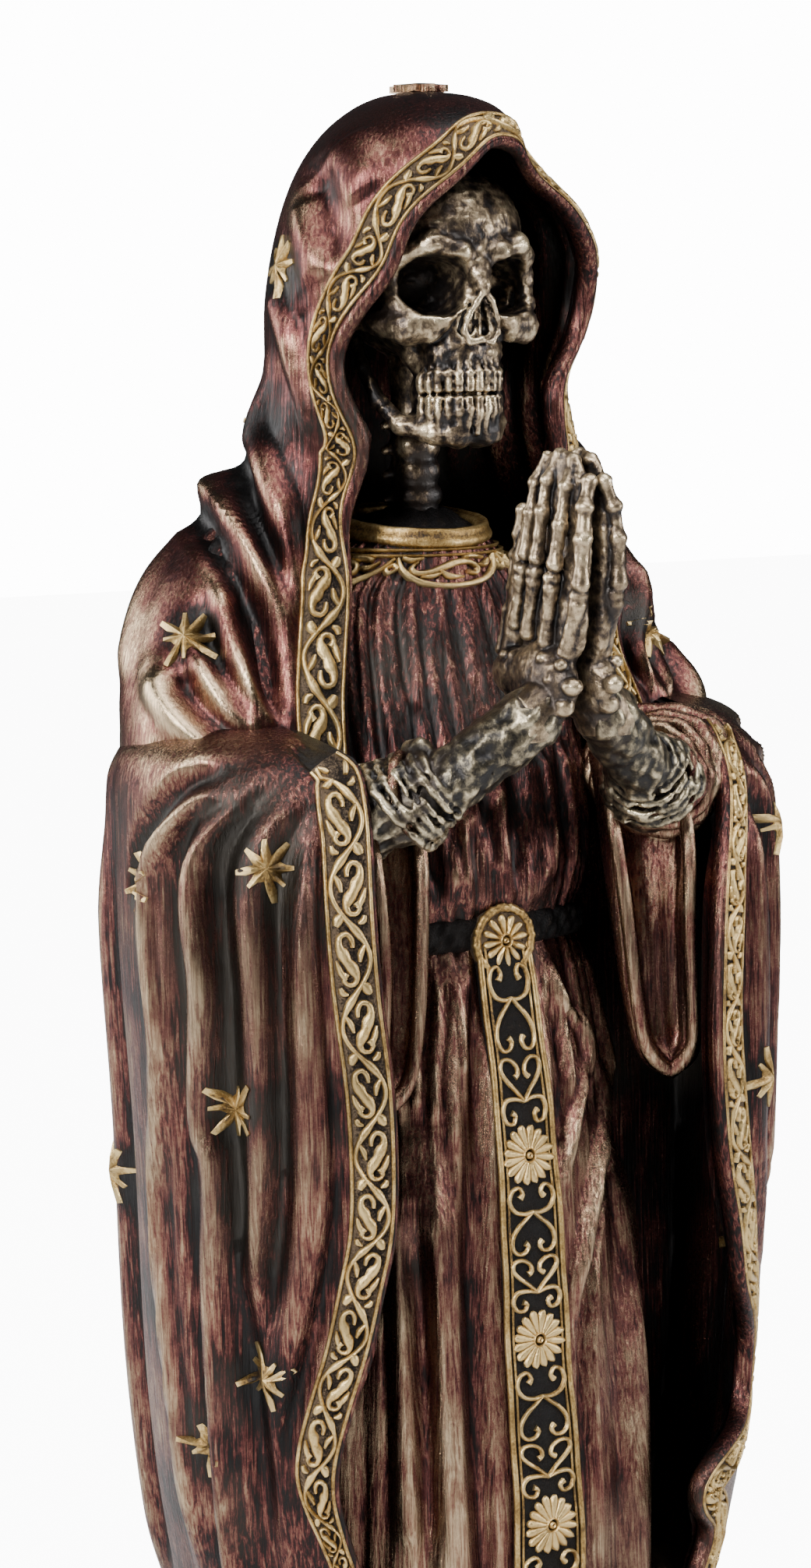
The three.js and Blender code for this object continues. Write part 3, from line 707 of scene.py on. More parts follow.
robe = {"bottom": 5, "top": 206, "across": 246, "down": 246, "turns": 118}
robeFolds = foldsOn(robeRows, [
    (-2.4, 3.4, [(607, 1290), (609, 1370), (613, 1450), (610, 1560), (607, 1680), (612, 1850),
                 (620, 2010), (-13, -31, 5)]),
    (3.0, 5.5, [(536, 1480), (548, 1540), (560, 1610), (570, 1725), (576, 1880), (585, 2010),
                (-18, -29, 2)]),
    (-2.0, 3.2, [(528, 1560), (537, 1650), (547, 1800), (555, 2010)]),
    (2.4, 4, [(508, 1500), (512, 1600), (520, 1750), (530, 2010)]),
    (1.2, 1.9, [(566, 1240), (562, 1300), (558, 1380), (560, 1450)]),
    (1.2, 1.9, [(580, 1240), (578, 1320), (580, 1400), (584, 1480)]),
    (1.1, 1.8, [(595, 1240), (596, 1310), (597, 1390)]),
    (-2.0, 2.6, [(706, 1280), (716, 1340), (722, 1420), (722, 1500)]),
    (1.5, 1.9, [(706, 1250), (722, 1293), (743, 1325), (748, 1370), (738, 1440), (727, 1510)]),
    (2.4, 3.2, [(750, 1250), (762, 1320), (769, 1400), (764, 1500), (750, 1590), (738, 1680)]),
    (-2.4, 3.2, [(782, 1380), (778, 1440), (770, 1530), (757, 1640), (752, 1760), (757, 1900),
                 (11, -31, 5)]),
    (4.2, 6.4, [(783, 1450), (792, 1540), (27.5, -17, 61.5), (25.5, -21, 40), (806, 2005),
                (23, -26, -12)]),
    (2.0, 4, [(33, -4, 100), (34, -6, 70), (36, -6, 40), (37, -7, 8)]),
    (2.0, 4, [(-30, -9, 104), (-32, -11, 70), (-33, -13, 40), (-34, -14, 8)]),
    (1.0, 2.6, [(-7.5, 0, 200.5), (-10.5, -5, 192), (530, 870), (528, 930)]),
    (1.0, 2.2, [(-2.5, -3, 197.5), (556, 850), (566, 930), (580, 1000)]),
    (0.9, 2.2, [(4, -3.5, 196.5), (606, 840), (612, 890)]),
    (1.4, 3, [(690, 960), (700, 1040), (700, 1110), (690, 1150)]),
    (1.4, 3, [(640, 1010), (634, 1070), (640, 1130)]),
    (1.3, 2.6, [(600, 1040), (590, 1100), (596, 1150)]),
    (1.2, 2.6, [(18, -11, 168), (18, -14.5, 154), (15, -17.4, 143)]),
    (-1.2, 2.2, [(4.6, -14.6, 170), (4.8, -18, 155), (3.6, -19.8, 143)]),
    (-1.2, 2.2, [(-14, -12.4, 168), (-14, -15.4, 154), (-12.6, -17.6, 143)]),
    (1.3, 2.6, [(-18, -10, 176), (-18.4, -13.6, 158), (-17, -16.6, 143)]),
])
# Small pleats gathered under and over the belt: turn, height, half width.
beltPleats = [(-62, 1.1, 2.2), (-52, 1.2, 2.0), (-43, 1.0, 1.8), (-36, 1.2, 1.8), (-17, 0.9, 1.5),
              (17, 0.8, 1.4), (22, 1.1, 1.6), (34, 1.1, 1.7), (42, 1.1, 1.8), (50, 1.0, 1.8),
              (60, 1.1, 2.0)]


def makeRobe():
    piece, u, v = freshGrid("robe", robe["across"], robe["down"])
    z = robe["bottom"] + (robe["top"] - robe["bottom"]) * v
    turn = (u - 0.5) * 2 * robe["turns"]
    base = outline(robeRows, turn, z)
    facing = unit(outward(robeRows, base))
    folds = list(robeFolds)
    for at, height, width in beltPleats:
        below = outline(robeRows, at * np.array([1, 1.02, 1.05]), np.array([128.0, 118, 102]))
        above = outline(robeRows, at * np.array([1, 1.0, 0.98]), np.array([141.0, 150, 166]))
        folds += [(height, width, below), (height * 0.8, width, above)]
    rise = foldHeights(base, folds)
    gather = 0.22 * np.sin(np.radians(turn) * 46 + 0.04 * z) * (1 - smoothStep(8, 46, np.abs(z - 134)))
    carved = 0.04 * np.sin(np.radians(turn) * 93 + 0.06 * z + 2 * np.sin(z * 0.045))
    way = np.radians(turn)
    crinkle = 0.4 * np.sin(way * 31 + 0.9 * np.sin(z * 0.06))
    crinkle = crinkle + 0.3 * np.sin(way * 53 + 1.3 * np.sin(z * 0.04 + 1))
    crinkle *= 0.3 + 0.7 * smoothStep(138, 150, z) * (1 - smoothStep(194, 204, z))
    movePoints(piece, base + facing * (rise + gather + carved + crinkle)[:, None])
    smoothFaces(piece)
    return piece


sleeve = {"thickness": 2.4, "aim": 25, "spread": 118, "rimRadius": 1.35}
sleeveStations = np.array([
    [0, 30, -20, 166, 9],
    [0.25, 29.5, -25, 151, 9.4],
    [0.5, 29.5, -27, 132, 7.8],
    [0.75, 31, -27.5, 115, 6.8],
    [0.9, 32, -27.8, 107.5, 5.2],
    [1, 32.5, -27.5, 103.5, 0.6],
])


def sleeveSurface(side, u, v, inset):
    x, y, z, radius = np.moveaxis(readTable(sleeveStations, v), -1, 0)
    r = np.maximum(0.3, radius - inset)
    turn = np.radians(sleeve["aim"] - sleeve["spread"] + 2 * sleeve["spread"] * u)
    drape = 0.7 * np.sin(turn * 5 + v * 3) * smoothStep(0.1, 0.5, v) * (1 - smoothStep(0.8, 1, v))
    r = r + drape
    return np.stack([side * (x + r * np.sin(turn)), y + r * 0.85 * np.cos(turn),
                     z + inset * smoothStep(0.6, 1, v)], axis=-1)


# A round bar along a line of points, closed at both ends.
def barAlong(name, line, radius, sides=10, flat=1.0, up=None):
    line = np.asarray(line, float)
    radius = np.broadcast_to(np.asarray(radius, float), len(line))
    along = unit(np.gradient(line, axis=0))
    if up is None:
        up = np.tile(unit(np.cross(along[len(line) // 2], (0.31, 0.87, 0.38))), (len(line), 1))
    side = unit(np.cross(along, up))
    top = unit(np.cross(side, along))
    turn = np.arange(sides) * 2 * math.pi / sides
    ring = (side[:, None] * np.cos(turn)[None, :, None] + top[:, None] * flat * np.sin(turn)[None, :, None])
    points = (line[:, None] + ring * radius[:, None, None]).reshape(-1, 3)
    faces = []
    for i in range(len(line) - 1):
        for k in range(sides):
            a, b = i * sides + k, i * sides + (k + 1) % sides
            faces.append((a, a + sides, b + sides, b))
    faces.append(tuple(range(sides)))
    last = (len(line) - 1) * sides
    faces.append(tuple(range(last, last + sides))[::-1])
    return meshFrom(name, points, faces)


def makeSleeve(side, name):
    parts = []
    for inset, turnRound in ((0, side < 0), (sleeve["thickness"], side > 0)):
        sheet, u, v = freshGrid(name, 70, 60)
        if turnRound:
            u = 1 - u
        movePoints(sheet, sleeveSurface(side, u, 1 - v, inset))
        parts.append(sheet)
    down = np.linspace(0, 1, 60)
    middle = sleeve["thickness"] / 2
    mouth = np.concatenate([sleeveSurface(side, 0 * down, down, middle),
                            sleeveSurface(side, 0 * down + 1, down, middle)[::-1]])
    mouth = evenly(softened(evenly(mouth, 160), 6), 140)
    parts.append(barAlong(name, mouth, sleeve["rimRadius"], 12, 1.15))
    piece = joinPieces(parts, name)
    smoothFaces(piece, 50)
    return piece


# Rings of gathered cloth where each sleeve closes round its cuff: place, radius, thickness.
gathers = [((26.6, -29.6, 162.6), 7.6, 1.3), ((29.0, -27.0, 162.0), 9.0, 1.4),
           ((31.4, -24.4, 161.6), 10.3, 1.5), ((34.0, -21.6, 161.4), 11.4, 1.8),
           ((37.2, -18.2, 161.4), 12.4, 2.2)]


def makeGathers():
    sides = 14
    parts = []
    for side in (-1, 1):
        along = unit(np.array((side * 12.0, 12.5, -4.5)))
        across = unit(np.cross(along, (0, 0, 1)))
        over = np.cross(across, along)
        for at, radius, thick in gathers[:1 if side < 0 else None]:
            turn = np.linspace(0, 2 * math.pi, 121)[:-1]
            wave = radius * (1 + 0.05 * np.sin(turn * 3 + radius) + 0.02 * np.sin(turn * 11 + 2 * radius))
            line = (np.array(at) * (side, 1, 1) + across * (np.cos(turn) * wave)[:, None]
                    + over * (np.sin(turn) * wave * 0.92)[:, None]
                    + along * (0.5 * np.sin(turn * 2 + radius))[:, None])
            tube = np.arange(sides) * 2 * math.pi / sides
            out = unit(line - line.mean(0))
            ring = (line[:, None] + out[:, None] * (np.cos(tube) * thick)[None, :, None]
                    + along * (np.sin(tube) * thick * 0.8)[None, :, None])
            n = len(turn)
            faces = [(i * sides + k, i * sides + (k + 1) % sides, (i + 1) % n * sides + (k + 1) % sides,
                      (i + 1) % n * sides + k) for i in range(n) for k in range(sides)]
            parts.append(meshFrom("gather", ring.reshape(-1, 3), faces))
    piece = joinPieces(parts, "sleeveGathers")
    weldSeams(piece, 0.001, True)
    smoothFaces(piece)
    return piece


hem = {
    # Distance from the edge and height off the cloth, from inside the lining round the lip.
    "lip": [(1.8, -3.5), (0.2, -3.3), (-0.7, -2.6), (-1.0, -1.4), (-0.8, -0.2), (-0.1, 0.6),
            (0.9, 0.75), (1.7, 0.3), (2.3, -0.4)],
    # Share of the way from the inner rim to the outer one, and height.
    "ground": [(-0.12, -0.6), (-0.05, 0.0), (0.25, 0.0), (0.5, 0.06), (0.75, 0.02), (1.0, -0.1),
               (1.07, -1.2)],
    "rimRadius": 0.38,
    "bend": 1.54,
    "sway": 0.4,
    "relief": 0.75,
    "bold": 1.16,
    "bandWidth": 7.5,
}


# Sweeps rows of (distance, height) along a strip, one profile to each length.
def sweepProfile(name, strip, steps, distance, height, flip):
    points = onStrip(strip, steps[:, None], distance, height).reshape(-1, 3)
    points[:, 2] = np.maximum(points[:, 2], 0.02)
    count, wide = distance.shape
    faces = []
    for i in range(count - 1):
        for k in range(wide - 1):
            a = i * wide + k
            face = (a, a + wide, a + wide + 1, a + 1)
            faces.append(face[::-1] if flip else face)
    return meshFrom(name, points, faces)


# A raised stroke: rows of length along, distance across, half width; rounded on top.
def strokeOn(placeOf, rows, height, samples=None, size=1.0):
    rows = np.asarray(rows, float)
    rows = curveThrough(rows, samples or max(6, len(rows) * 2))
    along = unit(np.gradient(rows[:, :2], axis=0))
    side = np.stack([-along[:, 1], along[:, 0]], axis=1)
    across = np.array([-1, -0.62, 0, 0.62, 1])
    rise = np.array([-0.5, 0.72, 1, 0.72, -0.5])
    flat = rows[:, None, :2] + side[:, None] * (across[None, :, None] * rows[:, None, 2:3])
    lift = rise[None, :] * height * np.clip(rows[:, 2:3] * size / 0.3, 0.6, 1.1)
    points = placeOf(flat[..., 0], flat[..., 1], lift)
    return points.reshape(-1, 3), len(rows), 5


def strokesMesh(name, pieces, flip):
    points, faces, start = [], [], 0
    for cloud, rows, wide in pieces:
        for i in range(rows - 1):
            for k in range(wide - 1):
                a = start + i * wide + k
                face = (a, a + wide, a + wide + 1, a + 1)
                faces.append(face[::-1] if flip else face)
        first = tuple(range(start, start + wide))
        last = tuple(range(start + (rows - 1) * wide, start + rows * wide))
        faces.append(first if not flip else first[::-1])
        faces.append(last[::-1] if not flip else last)
        points.append(cloud)
        start += rows * wide
    return meshFrom(name, np.concatenate(points), faces)


# One bend of the vine, in band widths: length along, distance across, half width.
vineStrokes = [
    [(-0.26, 0.02, 0.05), (-0.42, 0.01, 0.07), (-0.56, -0.1, 0.065), (-0.5, -0.26, 0.075),
     (-0.28, -0.28, 0.1), (-0.12, -0.2, 0.15), (0.06, -0.12, 0.12), (0.2, -0.02, 0.15),
     (0.4, 0.06, 0.085), (0.54, 0, 0.07), (0.56, -0.14, 0.06), (0.44, -0.24, 0.065),
     (0.3, -0.16, 0.09)],
    [(0.44, -0.2, 0.06), (0.22, -0.31, 0.08), (0, -0.38, 0.03)],
    [(-0.74, -0.32, 0.08), (-0.87, -0.26, 0.13), (-1, -0.15, 0.06)],
    [(-0.3, 0.3, 0.04), (-0.12, 0.2, 0.08), (0.07, 0.16, 0.04)],
    [(0.6, -0.34, 0.05), (0.72, -0.3, 0.085), (0.76, -0.18, 0.04)],
]


def makeVine(name, strip, flip, start=0.4, side=1):
    along = strip["run"]
    wide = strip["outer"] - strip["inner"]
    phase = np.r_[0, np.cumsum(np.diff(along) / (wide[1:] + wide[:-1]) * 2)]

    def placeOf(run, across, lift):
        at = np.interp(run, phase, along)
        inner, outer = rimsAt(strip, at)
        places = onStrip(strip, at, (inner + outer) / 2 + across * (outer - inner), lift)
        places[..., 2] = np.maximum(places[..., 2], 0.02)
        return places
    bend, last = hem["bend"], phase[-1] - 0.15
    steps = np.arange(0.1, last, bend / 14)
    turn = math.pi * (steps - start) / bend
    swell = np.exp(-((turn / math.pi) % 1 - 0.62) ** 2 / 0.012)
    stem = np.stack([steps, hem["sway"] * side * np.cos(turn), 0.07 + 0.055 * swell], axis=1)
    size = hem["bandWidth"]
    strokes = [strokeOn(placeOf, stem, hem["relief"], len(steps) * 2, size)]
    for i in range(int((last - start) / bend) + 1):
        way = side * (-1 if i % 2 else 1)
        centre = start + i * bend
        for rows in vineStrokes:
            rows = np.array(rows) * (1, way, hem["bold"]) + (centre, 0, 0)
            if rows[:, 0].min() > 0.05 and rows[:, 0].max() < last:
                strokes.append(strokeOn(placeOf, rows, hem["relief"], None, size))
    return strokesMesh(name, strokes, flip)


def makeHems():
    lips, grounds, golds = [], [], []
    for name, strip, flip, count in (("hood", hoodStrip, False, 620), ("near", nearStrip, True, 380),
                                     ("far", farStrip, False, 380)):
        steps = np.linspace(0, strip["run"][-1], count)
        inner, outer = (row[:, None] for row in rimsAt(strip, steps))
        lip, ground = np.array(hem["lip"]), np.array(hem["ground"])
        roll = np.clip(inner / 2.0, 0.15, 1)
        wide = np.where(lip[:, 0] > 0.5, lip[:, 0] * roll, lip[:, 0] * (0.4 + 0.6 * roll))
        high = np.where(lip[:, 1] > -0.1, lip[:, 1] * roll, lip[:, 1])
        lips.append(sweepProfile(name + "Lip", strip, steps, wide, high, flip))
        wide = inner + (outer - inner) * ground[:, 0]
        grounds.append(sweepProfile(name + "Ground", strip, steps, wide, ground[:, 1] + 0 * wide, flip))
        steps = np.linspace(0.4, strip["run"][-1] - 0.2, count)
        for at in rimsAt(strip, steps):
            line = onStrip(strip, steps, at, 0.16)
            facing = onStrip(strip, steps, at, 1.16) - line
            rim = barAlong(name + "Rim", line, hem["rimRadius"], 8, 1.0, facing)
            points = readPoints(rim)
            points[:, 2] = np.maximum(points[:, 2], 0.02)
            movePoints(rim, points)
            golds.append(rim)
        golds.append(makeVine(name + "Vine", strip, flip))
        if name == "hood":
            for piece in [lips[-1], grounds[-1], *golds[-3:]]:
                leanHood(piece)
    lip = joinPieces(lips, "hemLips")
    ground = joinPieces(grounds, "hemGrounds")
    gold = joinPieces(golds, "hemGold")
    for piece in (lip, ground, gold):
        smoothFaces(piece, 70)
    return lip, ground, gold


star = {"radius": 6.0, "height": 1.2, "points": 8}
# Stars on the cloth: which outlines, pick or place, turn.
starPicks = [
    ("hood", (240, 825), 10), ("mantle", (345, 1120), 4), ("mantle", (180, 1140), 20),
    ("mantle", (300, 1430), 0), ("mantle", (342, 1770), 12), ("mantle", (265, 1860), 30),
    ("hood", (362, 350), 8), ("hood", (-29.1, 17.5, 227.9), 0), ("hood", (838, 815), 15),
    ("mantle", (50.2, -31.4, 102.3), 5), ("mantle", (57, -25, 150), 18),
    ("mantle", (64, -8, 66), 9), ("hood", (30, 6, 252), 0), ("hood", (44, 22, 194), 22),
    ("hood", (0, 31, 236), 4), ("hood", (-28, 38, 182), 12), ("hood", (30, 38, 176), 0),
    ("mantle", (-48, 33, 128), 6), ("mantle", (50, 32, 120), 14), ("mantle", (0, 39, 100), 0),
    ("mantle", (-26, 40, 62), 20), ("mantle", (28, 40, 56), 8), ("mantle", (56, 24, 28), 0),
    ("mantle", (-58, 20, 90), 11),
]
starPlaces = [(which, placeOn(clothRows[which], at), turn) for which, at, turn in starPicks]


# Eight uneven arms that taper from a chunky middle, raised along their ridges.
def makeStars(cloths):
    trees = {key: BVHTree.FromPolygons([tuple(p) for p in readPoints(piece)],
                                       [tuple(f.vertices) for f in piece.data.polygons])
             for key, piece in cloths.items()}
    points, faces = [], []
    for number, (which, place, turn) in enumerate(starPlaces):
        rows = clothRows[which]
        place = settle(rows, np.array([place], float))[0]
        facing = unit(outward(rows, np.array([place])))[0]
        side = unit(np.cross((0, 0, 1), facing))
        top = np.cross(facing, side)
        start = len(points)
        ring = []
        for i in range(star["points"]):
            chance = math.sin(number * 3.7 + i * 2.9)
            angle = math.radians(turn + 7 * chance) + i * 2 * math.pi / star["points"]
            reach = star["radius"] * (0.9 + 0.2 * chance)
            for wide, far, lift in ((-math.pi / 8, 0.39, 0.1), (-0.2, 0.64, 0.3), (-0.075, 0.97, 0.3),
                                    (0.075, 0.97, 0.3), (0.2, 0.64, 0.3)):
                middle = far < 0.4
                away = star["radius"] * far if middle else reach * far
                ring.append((away * math.cos(angle + wide), away * math.sin(angle + wide), lift))
        ridge = [(x * 0.45, y * 0.45, 0.75 + 0.12 * math.sin(i * 2.3)) for i, (x, y, _) in enumerate(ring)]
        base = [(x * 1.02, y * 1.02, -1.4) for x, y, _ in ring]
        for x, y, lift in [*ring, *base, *ridge, (0, 0, 1.0)]:
            flat = place + side * x + top * y
            hit = trees[which].ray_cast(Vector(flat + facing * 8), Vector(-facing), 12)
            ground = np.array(hit[0]) if hit[0] is not None else flat
            if (ground - flat) @ facing < -2.5:
                ground = flat - facing * 2.5
            points.append(ground + facing * lift * star["height"])
        n = len(ring)
        for i in range(n):
            k = (i + 1) % n
            faces.append((start + i, start + k, start + 2 * n + k, start + 2 * n + i))
            faces.append((start + n + i, start + n + k, start + k, start + i))
            faces.append((start + 2 * n + i, start + 2 * n + k, start + 3 * n))
    piece = meshFrom("stars", points, faces)
    smoothFaces(piece, 40)
    return piece


# Lighter and darker patches added by place, used for painted highlights and painted shade: place, reach and
# amount.
def spotsAt(points, spots):
    total = np.zeros(len(points))
    for place, reach, amount in spots:
        total += amount * np.exp(-(((points - place) / reach) ** 2).sum(1))
    return total


# Painted highlight on the near shoulder, the near side and brow of the hood, the elbow and the far shoulder;
# painted shade over the chest and where the mantle top tucks under the hood by the near forearm; the cloth is
# also darker round each star.
clothSpots = [((-62, -2, 184), (12, 20, 10), 0.36), ((-56, 2, 198), (8, 15, 9), 0.25),
              ((-27, -2, 266), (7, 14, 13), 0.14), ((-38, 0, 200), (9, 14, 12), 0.06),
              ((0, -16, 180), (30, 14, 28), -0.06), ((-38, -26, 171), (14, 10, 6), -0.3),
              ((-51, -30, 120), (5, 6, 45), 0.1),
              ((60, -6, 176), (14, 18, 14), 0.12), *[(place, 6.5, -0.34) for _, place, _ in starPlaces]]


# Carved bone is built as a field of distances to its surface, then turned into a mesh.
def freshField(low, high, step):
    low = np.array(low, float)
    counts = [int(math.ceil((high[k] - low[k]) / step)) + 1 for k in range(3)]
    return {"low": low, "step": step, "value": np.full(counts, 4.0, np.float32)}


# The part of a field near a shape: its slices and the points in it.
def blockOf(field, low, high, margin=2.5):
    value, step = field["value"], field["step"]
    starts = [max(0, int((low[k] - margin - field["low"][k]) / step)) for k in range(3)]
    ends = [min(value.shape[k], int((high[k] + margin - field["low"][k]) / step) + 2) for k in range(3)]
    slices = tuple(slice(a, max(a, b)) for a, b in zip(starts, ends))
    axes = [field["low"][k] + np.arange(slices[k].start, slices[k].stop) * step for k in range(3)]
    return slices, np.stack(np.meshgrid(*axes, indexing="ij"), axis=-1).astype(np.float32)


def softMin(a, b, blend):
    if blend <= 0:
        return np.minimum(a, b)
    share = np.clip(0.5 + 0.5 * (b - a) / blend, 0, 1)
    return b * (1 - share) + a * share - blend * share * (1 - share)


def applyShape(field, low, high, distance, blend, cut):
    slices, points = blockOf(field, low, high)
    if not points.size:
        return
    found = distance(points)
    old = field["value"][slices]
    field["value"][slices] = -softMin(-old, found, blend) if cut else softMin(old, found, blend)


def addBall(field, centre, radii, blend=0.8, cut=False, power=2, lean=0):
    centre, radii = np.array(centre, np.float32), np.array(radii, np.float32)
    reach = radii.max() if lean else radii

    def distance(points):
        away = points - centre
        if lean:
            c, s = math.cos(math.radians(lean)), math.sin(math.radians(lean))
            away = np.stack([away[..., 0] * c + away[..., 2] * s, away[..., 1],
                             away[..., 2] * c - away[..., 0] * s], axis=-1)
        share = (np.abs(away / radii) ** power).sum(-1) ** (1 / power)
        slope = np.sqrt(((away / radii ** 2) ** 2).sum(-1))
        return share * (share - 1) / np.maximum(slope, 1e-3)
    applyShape(field, centre - reach, centre + reach, distance, blend, cut)


# A rounded bar along points of x, y, z and radius.
def addLimb(field, line, blend=0.8, cut=False):
    line = np.array(line, np.float32)
    for a, b in zip(line[:-1], line[1:]):
        radius = max(a[3], b[3])

        def distance(points, a=a, b=b):
            run = b[:3] - a[:3]
            share = np.clip(((points - a[:3]) @ run) / max(run @ run, 1e-6), 0, 1)
            away = points - a[:3] - share[..., None] * run
            return np.sqrt((away ** 2).sum(-1)) - (a[3] + (b[3] - a[3]) * share)
        applyShape(field, np.minimum(a, b)[:3] - radius, np.maximum(a, b)[:3] + radius, distance, blend, cut)


def addRing(field, centre, axis, radius, tube, blend=0.5, cut=False):
    centre, axis = np.array(centre, np.float32), unit(np.array(axis, float)).astype(np.float32)

    def distance(points):
        away = points - centre
        along = away @ axis
        wide = np.sqrt(np.maximum((away ** 2).sum(-1) - along ** 2, 0)) - radius
        return np.sqrt(wide ** 2 + along ** 2) - tube
    reach = radius + tube
    applyShape(field, centre - reach, centre + reach, distance, blend, cut)


# A block with rounded corners, turned about the upright and narrowed towards one end.
def addBlock(field, centre, half, corner, turn, blend=0.3, narrow=0.0):
    centre, half = np.array(centre, np.float32), np.array(half, np.float32)
    c, s = math.cos(turn), math.sin(turn)

    def distance(points):
        away = points - centre
        away = np.stack([away[..., 0] * c + away[..., 1] * s, away[..., 1] * c - away[..., 0] * s,
                         away[..., 2]], axis=-1)
        thin = 1 + narrow * away[..., 2] / half[2]
        over = np.abs(away) - (half - corner) * np.stack([thin, thin, np.ones_like(thin)], axis=-1)
        return np.sqrt((np.maximum(over, 0) ** 2).sum(-1)) + np.minimum(over.max(-1), 0) - corner
    reach = np.linalg.norm(half)
    applyShape(field, centre - reach, centre + reach, distance, blend, False)


# Uneven bone: waves in many directions push the surface in and out.
def roughen(field, amount, length, seed):
    chance = np.random.default_rng(seed)
    slices, points = blockOf(field, field["low"], field["low"] + 1e4)
    waves = np.zeros(field["value"].shape, np.float32)
    for _ in range(14):
        way = unit(chance.normal(size=3)) * 2 * math.pi / (length * chance.uniform(0.6, 1.7))
        waves += np.sin(points @ way.astype(np.float32) + chance.uniform(0, 6.28))
    field["value"] += np.clip(waves / 3, -1, 1.4) * amount


def meshField(field, name):
    grid = openvdb.FloatGrid(4.0)
    grid.copyFromArray(field["value"])
    points, quads = grid.convertToQuads(0.0)
    points = np.array(points, float) * field["step"] + field["low"]
    piece = meshFrom(name, points, np.array(quads)[:, ::-1])
    weldSeams(piece, 0.001, True)
    smoothFaces(piece, 180)
    return piece


# Keeps a share of the faces: the stretches between the pits need few.
def thinPiece(piece, share):
    deselectAll()
    thinner = piece.modifiers.new("thinner", "DECIMATE")
    thinner.ratio = share
    bpy.context.view_layer.objects.active = piece
    bpy.ops.object.modifier_apply(modifier=thinner.name)


# The skull, each side mirrored from the figure's right.
skull = {
    "balls": [((0, 5, 257), (17.2, 19, 17.6)), ((0, -3.0, 262.6), (15.2, 12.8, 12.2)),
              ((0, -3, 249), (12.6, 11, 11))],
    "temple": ((19.8, -7, 257.5), (5.2, 8, 8)),
    "brow": [(1.0, -14.2, 256.8, 1.5), (4.4, -15.2, 258.6, 1.8), (9.2, -13.6, 259.9, 2.0),
             (13.2, -9.8, 258.2, 1.9), (14.9, -7.4, 254.6, 1.6)],
    "lowerRim": [(14.9, -7.4, 254.6, 1.7), (14.4, -8.6, 249.4, 1.8), (11.6, -11.0, 246.4, 2.0),
                 (7.2, -13.2, 246.2, 1.7), (4.2, -14.6, 249.2, 1.4), (3.0, -15.0, 254.6, 1.3)],
    "cheek": [(9.0, -11.8, 244.6, 2.4), (12.6, -9.8, 245.2, 3.0), (15.0, -5.5, 246.2, 2.4),
              (16.8, 0.5, 247, 1.8), (17.0, 6.5, 248, 1.7)],
    "socket": ((8.0, -14.5, 252.4), (5.9, 11.5, 5.4)),
    "nasal": [(0, -13.6, 258.5, 1.8), (0, -14.9, 255.4, 1.5), (0, -16.4, 252.6, 1.2)],
    "noseRim": [(0, -17.0, 251.6, 0.7), (1.7, -16.6, 249.4, 0.6), (3.2, -15.9, 246.6, 0.62),
                (3.7, -15.3, 244.2, 0.66), (2.3, -15.4, 242.3, 0.6), (0, -15.9, 242.7, 0.55)],
    "jawEdge": [(15.0, 4.0, 243, 1.2), (14.6, 2.0, 238, 1.3), (13.2, -0.6, 232, 1.4),
                (10.6, -4.2, 227.6, 1.7), (6.4, -8.4, 226.2, 2.3), (2.2, -10.4, 225.8, 2.6)],
    "arc": (-0.2, -6.6, 7.6),
    "teeth": 13,
    "upper": (235.2, 2.15),
    "lower": (231.1, 1.85),
}


def bothSides(line):
    return [line, [(-p[0], *p[1:]) for p in line]]


def makeSkull():
    field = freshField((-19.5, -19.5, 202), (19.5, 27, 277), 0.4)
    addBall(field, *skull["balls"][0], 0)
    for ball in skull["balls"][1:]:
        addBall(field, *ball, 2.5)
    addBall(field, (0, -6.0, 241), (8.8, 8.4, 8.5), 2)
    for side in (-1, 1):
        (x, y, z), radii = skull["temple"]
        addBall(field, (side * x, y, z), radii, 2.5, True)
    for name, blend in (("brow", 1.6), ("lowerRim", 1.0), ("cheek", 1.4), ("nasal", 1.4)):
        for line in bothSides(skull[name]):
            addLimb(field, line, blend)
    addTeeth(field)
    for line in bothSides(skull["jawEdge"]):
        addLimb(field, line, 1.0)
    addBall(field, (0, -8.3, 227.4), (7.4, 5.0, 3.6), 1.2, False, 2.6)
    for side in (-1, 1):
        addBall(field, (side * 3.2, -11.2, 225.8), (3.0, 2.2, 2.3), 1.2)
        (x, y, z), radii = skull["socket"]
        addBall(field, (side * x, y, z), radii, 0.7, True, 2.5, side * 9)
        addBall(field, (side * 9.6, -7.5, 239.8), (2.2, 3.4, 3.2), 1.5, True)
    addBall(field, (0, -9.5, 252.5), (2.3, 7.0, 6.5), 0.8)
    addLimb(field, [(0, -12.0, 249.0, 1.8), (0, -13.6, 254.0, 1.9)], 0.8)
    for line in bothSides(skull["noseRim"]):
        addLimb(field, line, 0.5)
    for side in (-1, 1):
        for y, girth in ((-12.8, 1.75), (-15.2, 1.7), (-17.6, 1.65)):
            opening = [(side * 1.75, y, 244.9, girth), (side * 1.0, y - 0.4, 249.0, girth * 0.55)]
            addLimb(field, opening, 0.2, True)
    addLimb(field, [(0, -15.0, 243.0, 0.34), (0.35, -14.6, 246, 0.3), (0, -15.2, 249.8, 0.3)], 0.1)
    roughen(field, 0.10, 2.6, 5)
    roughen(field, 0.05, 1.1, 6)
    addNeck(field)
    return meshField(field, "skull")


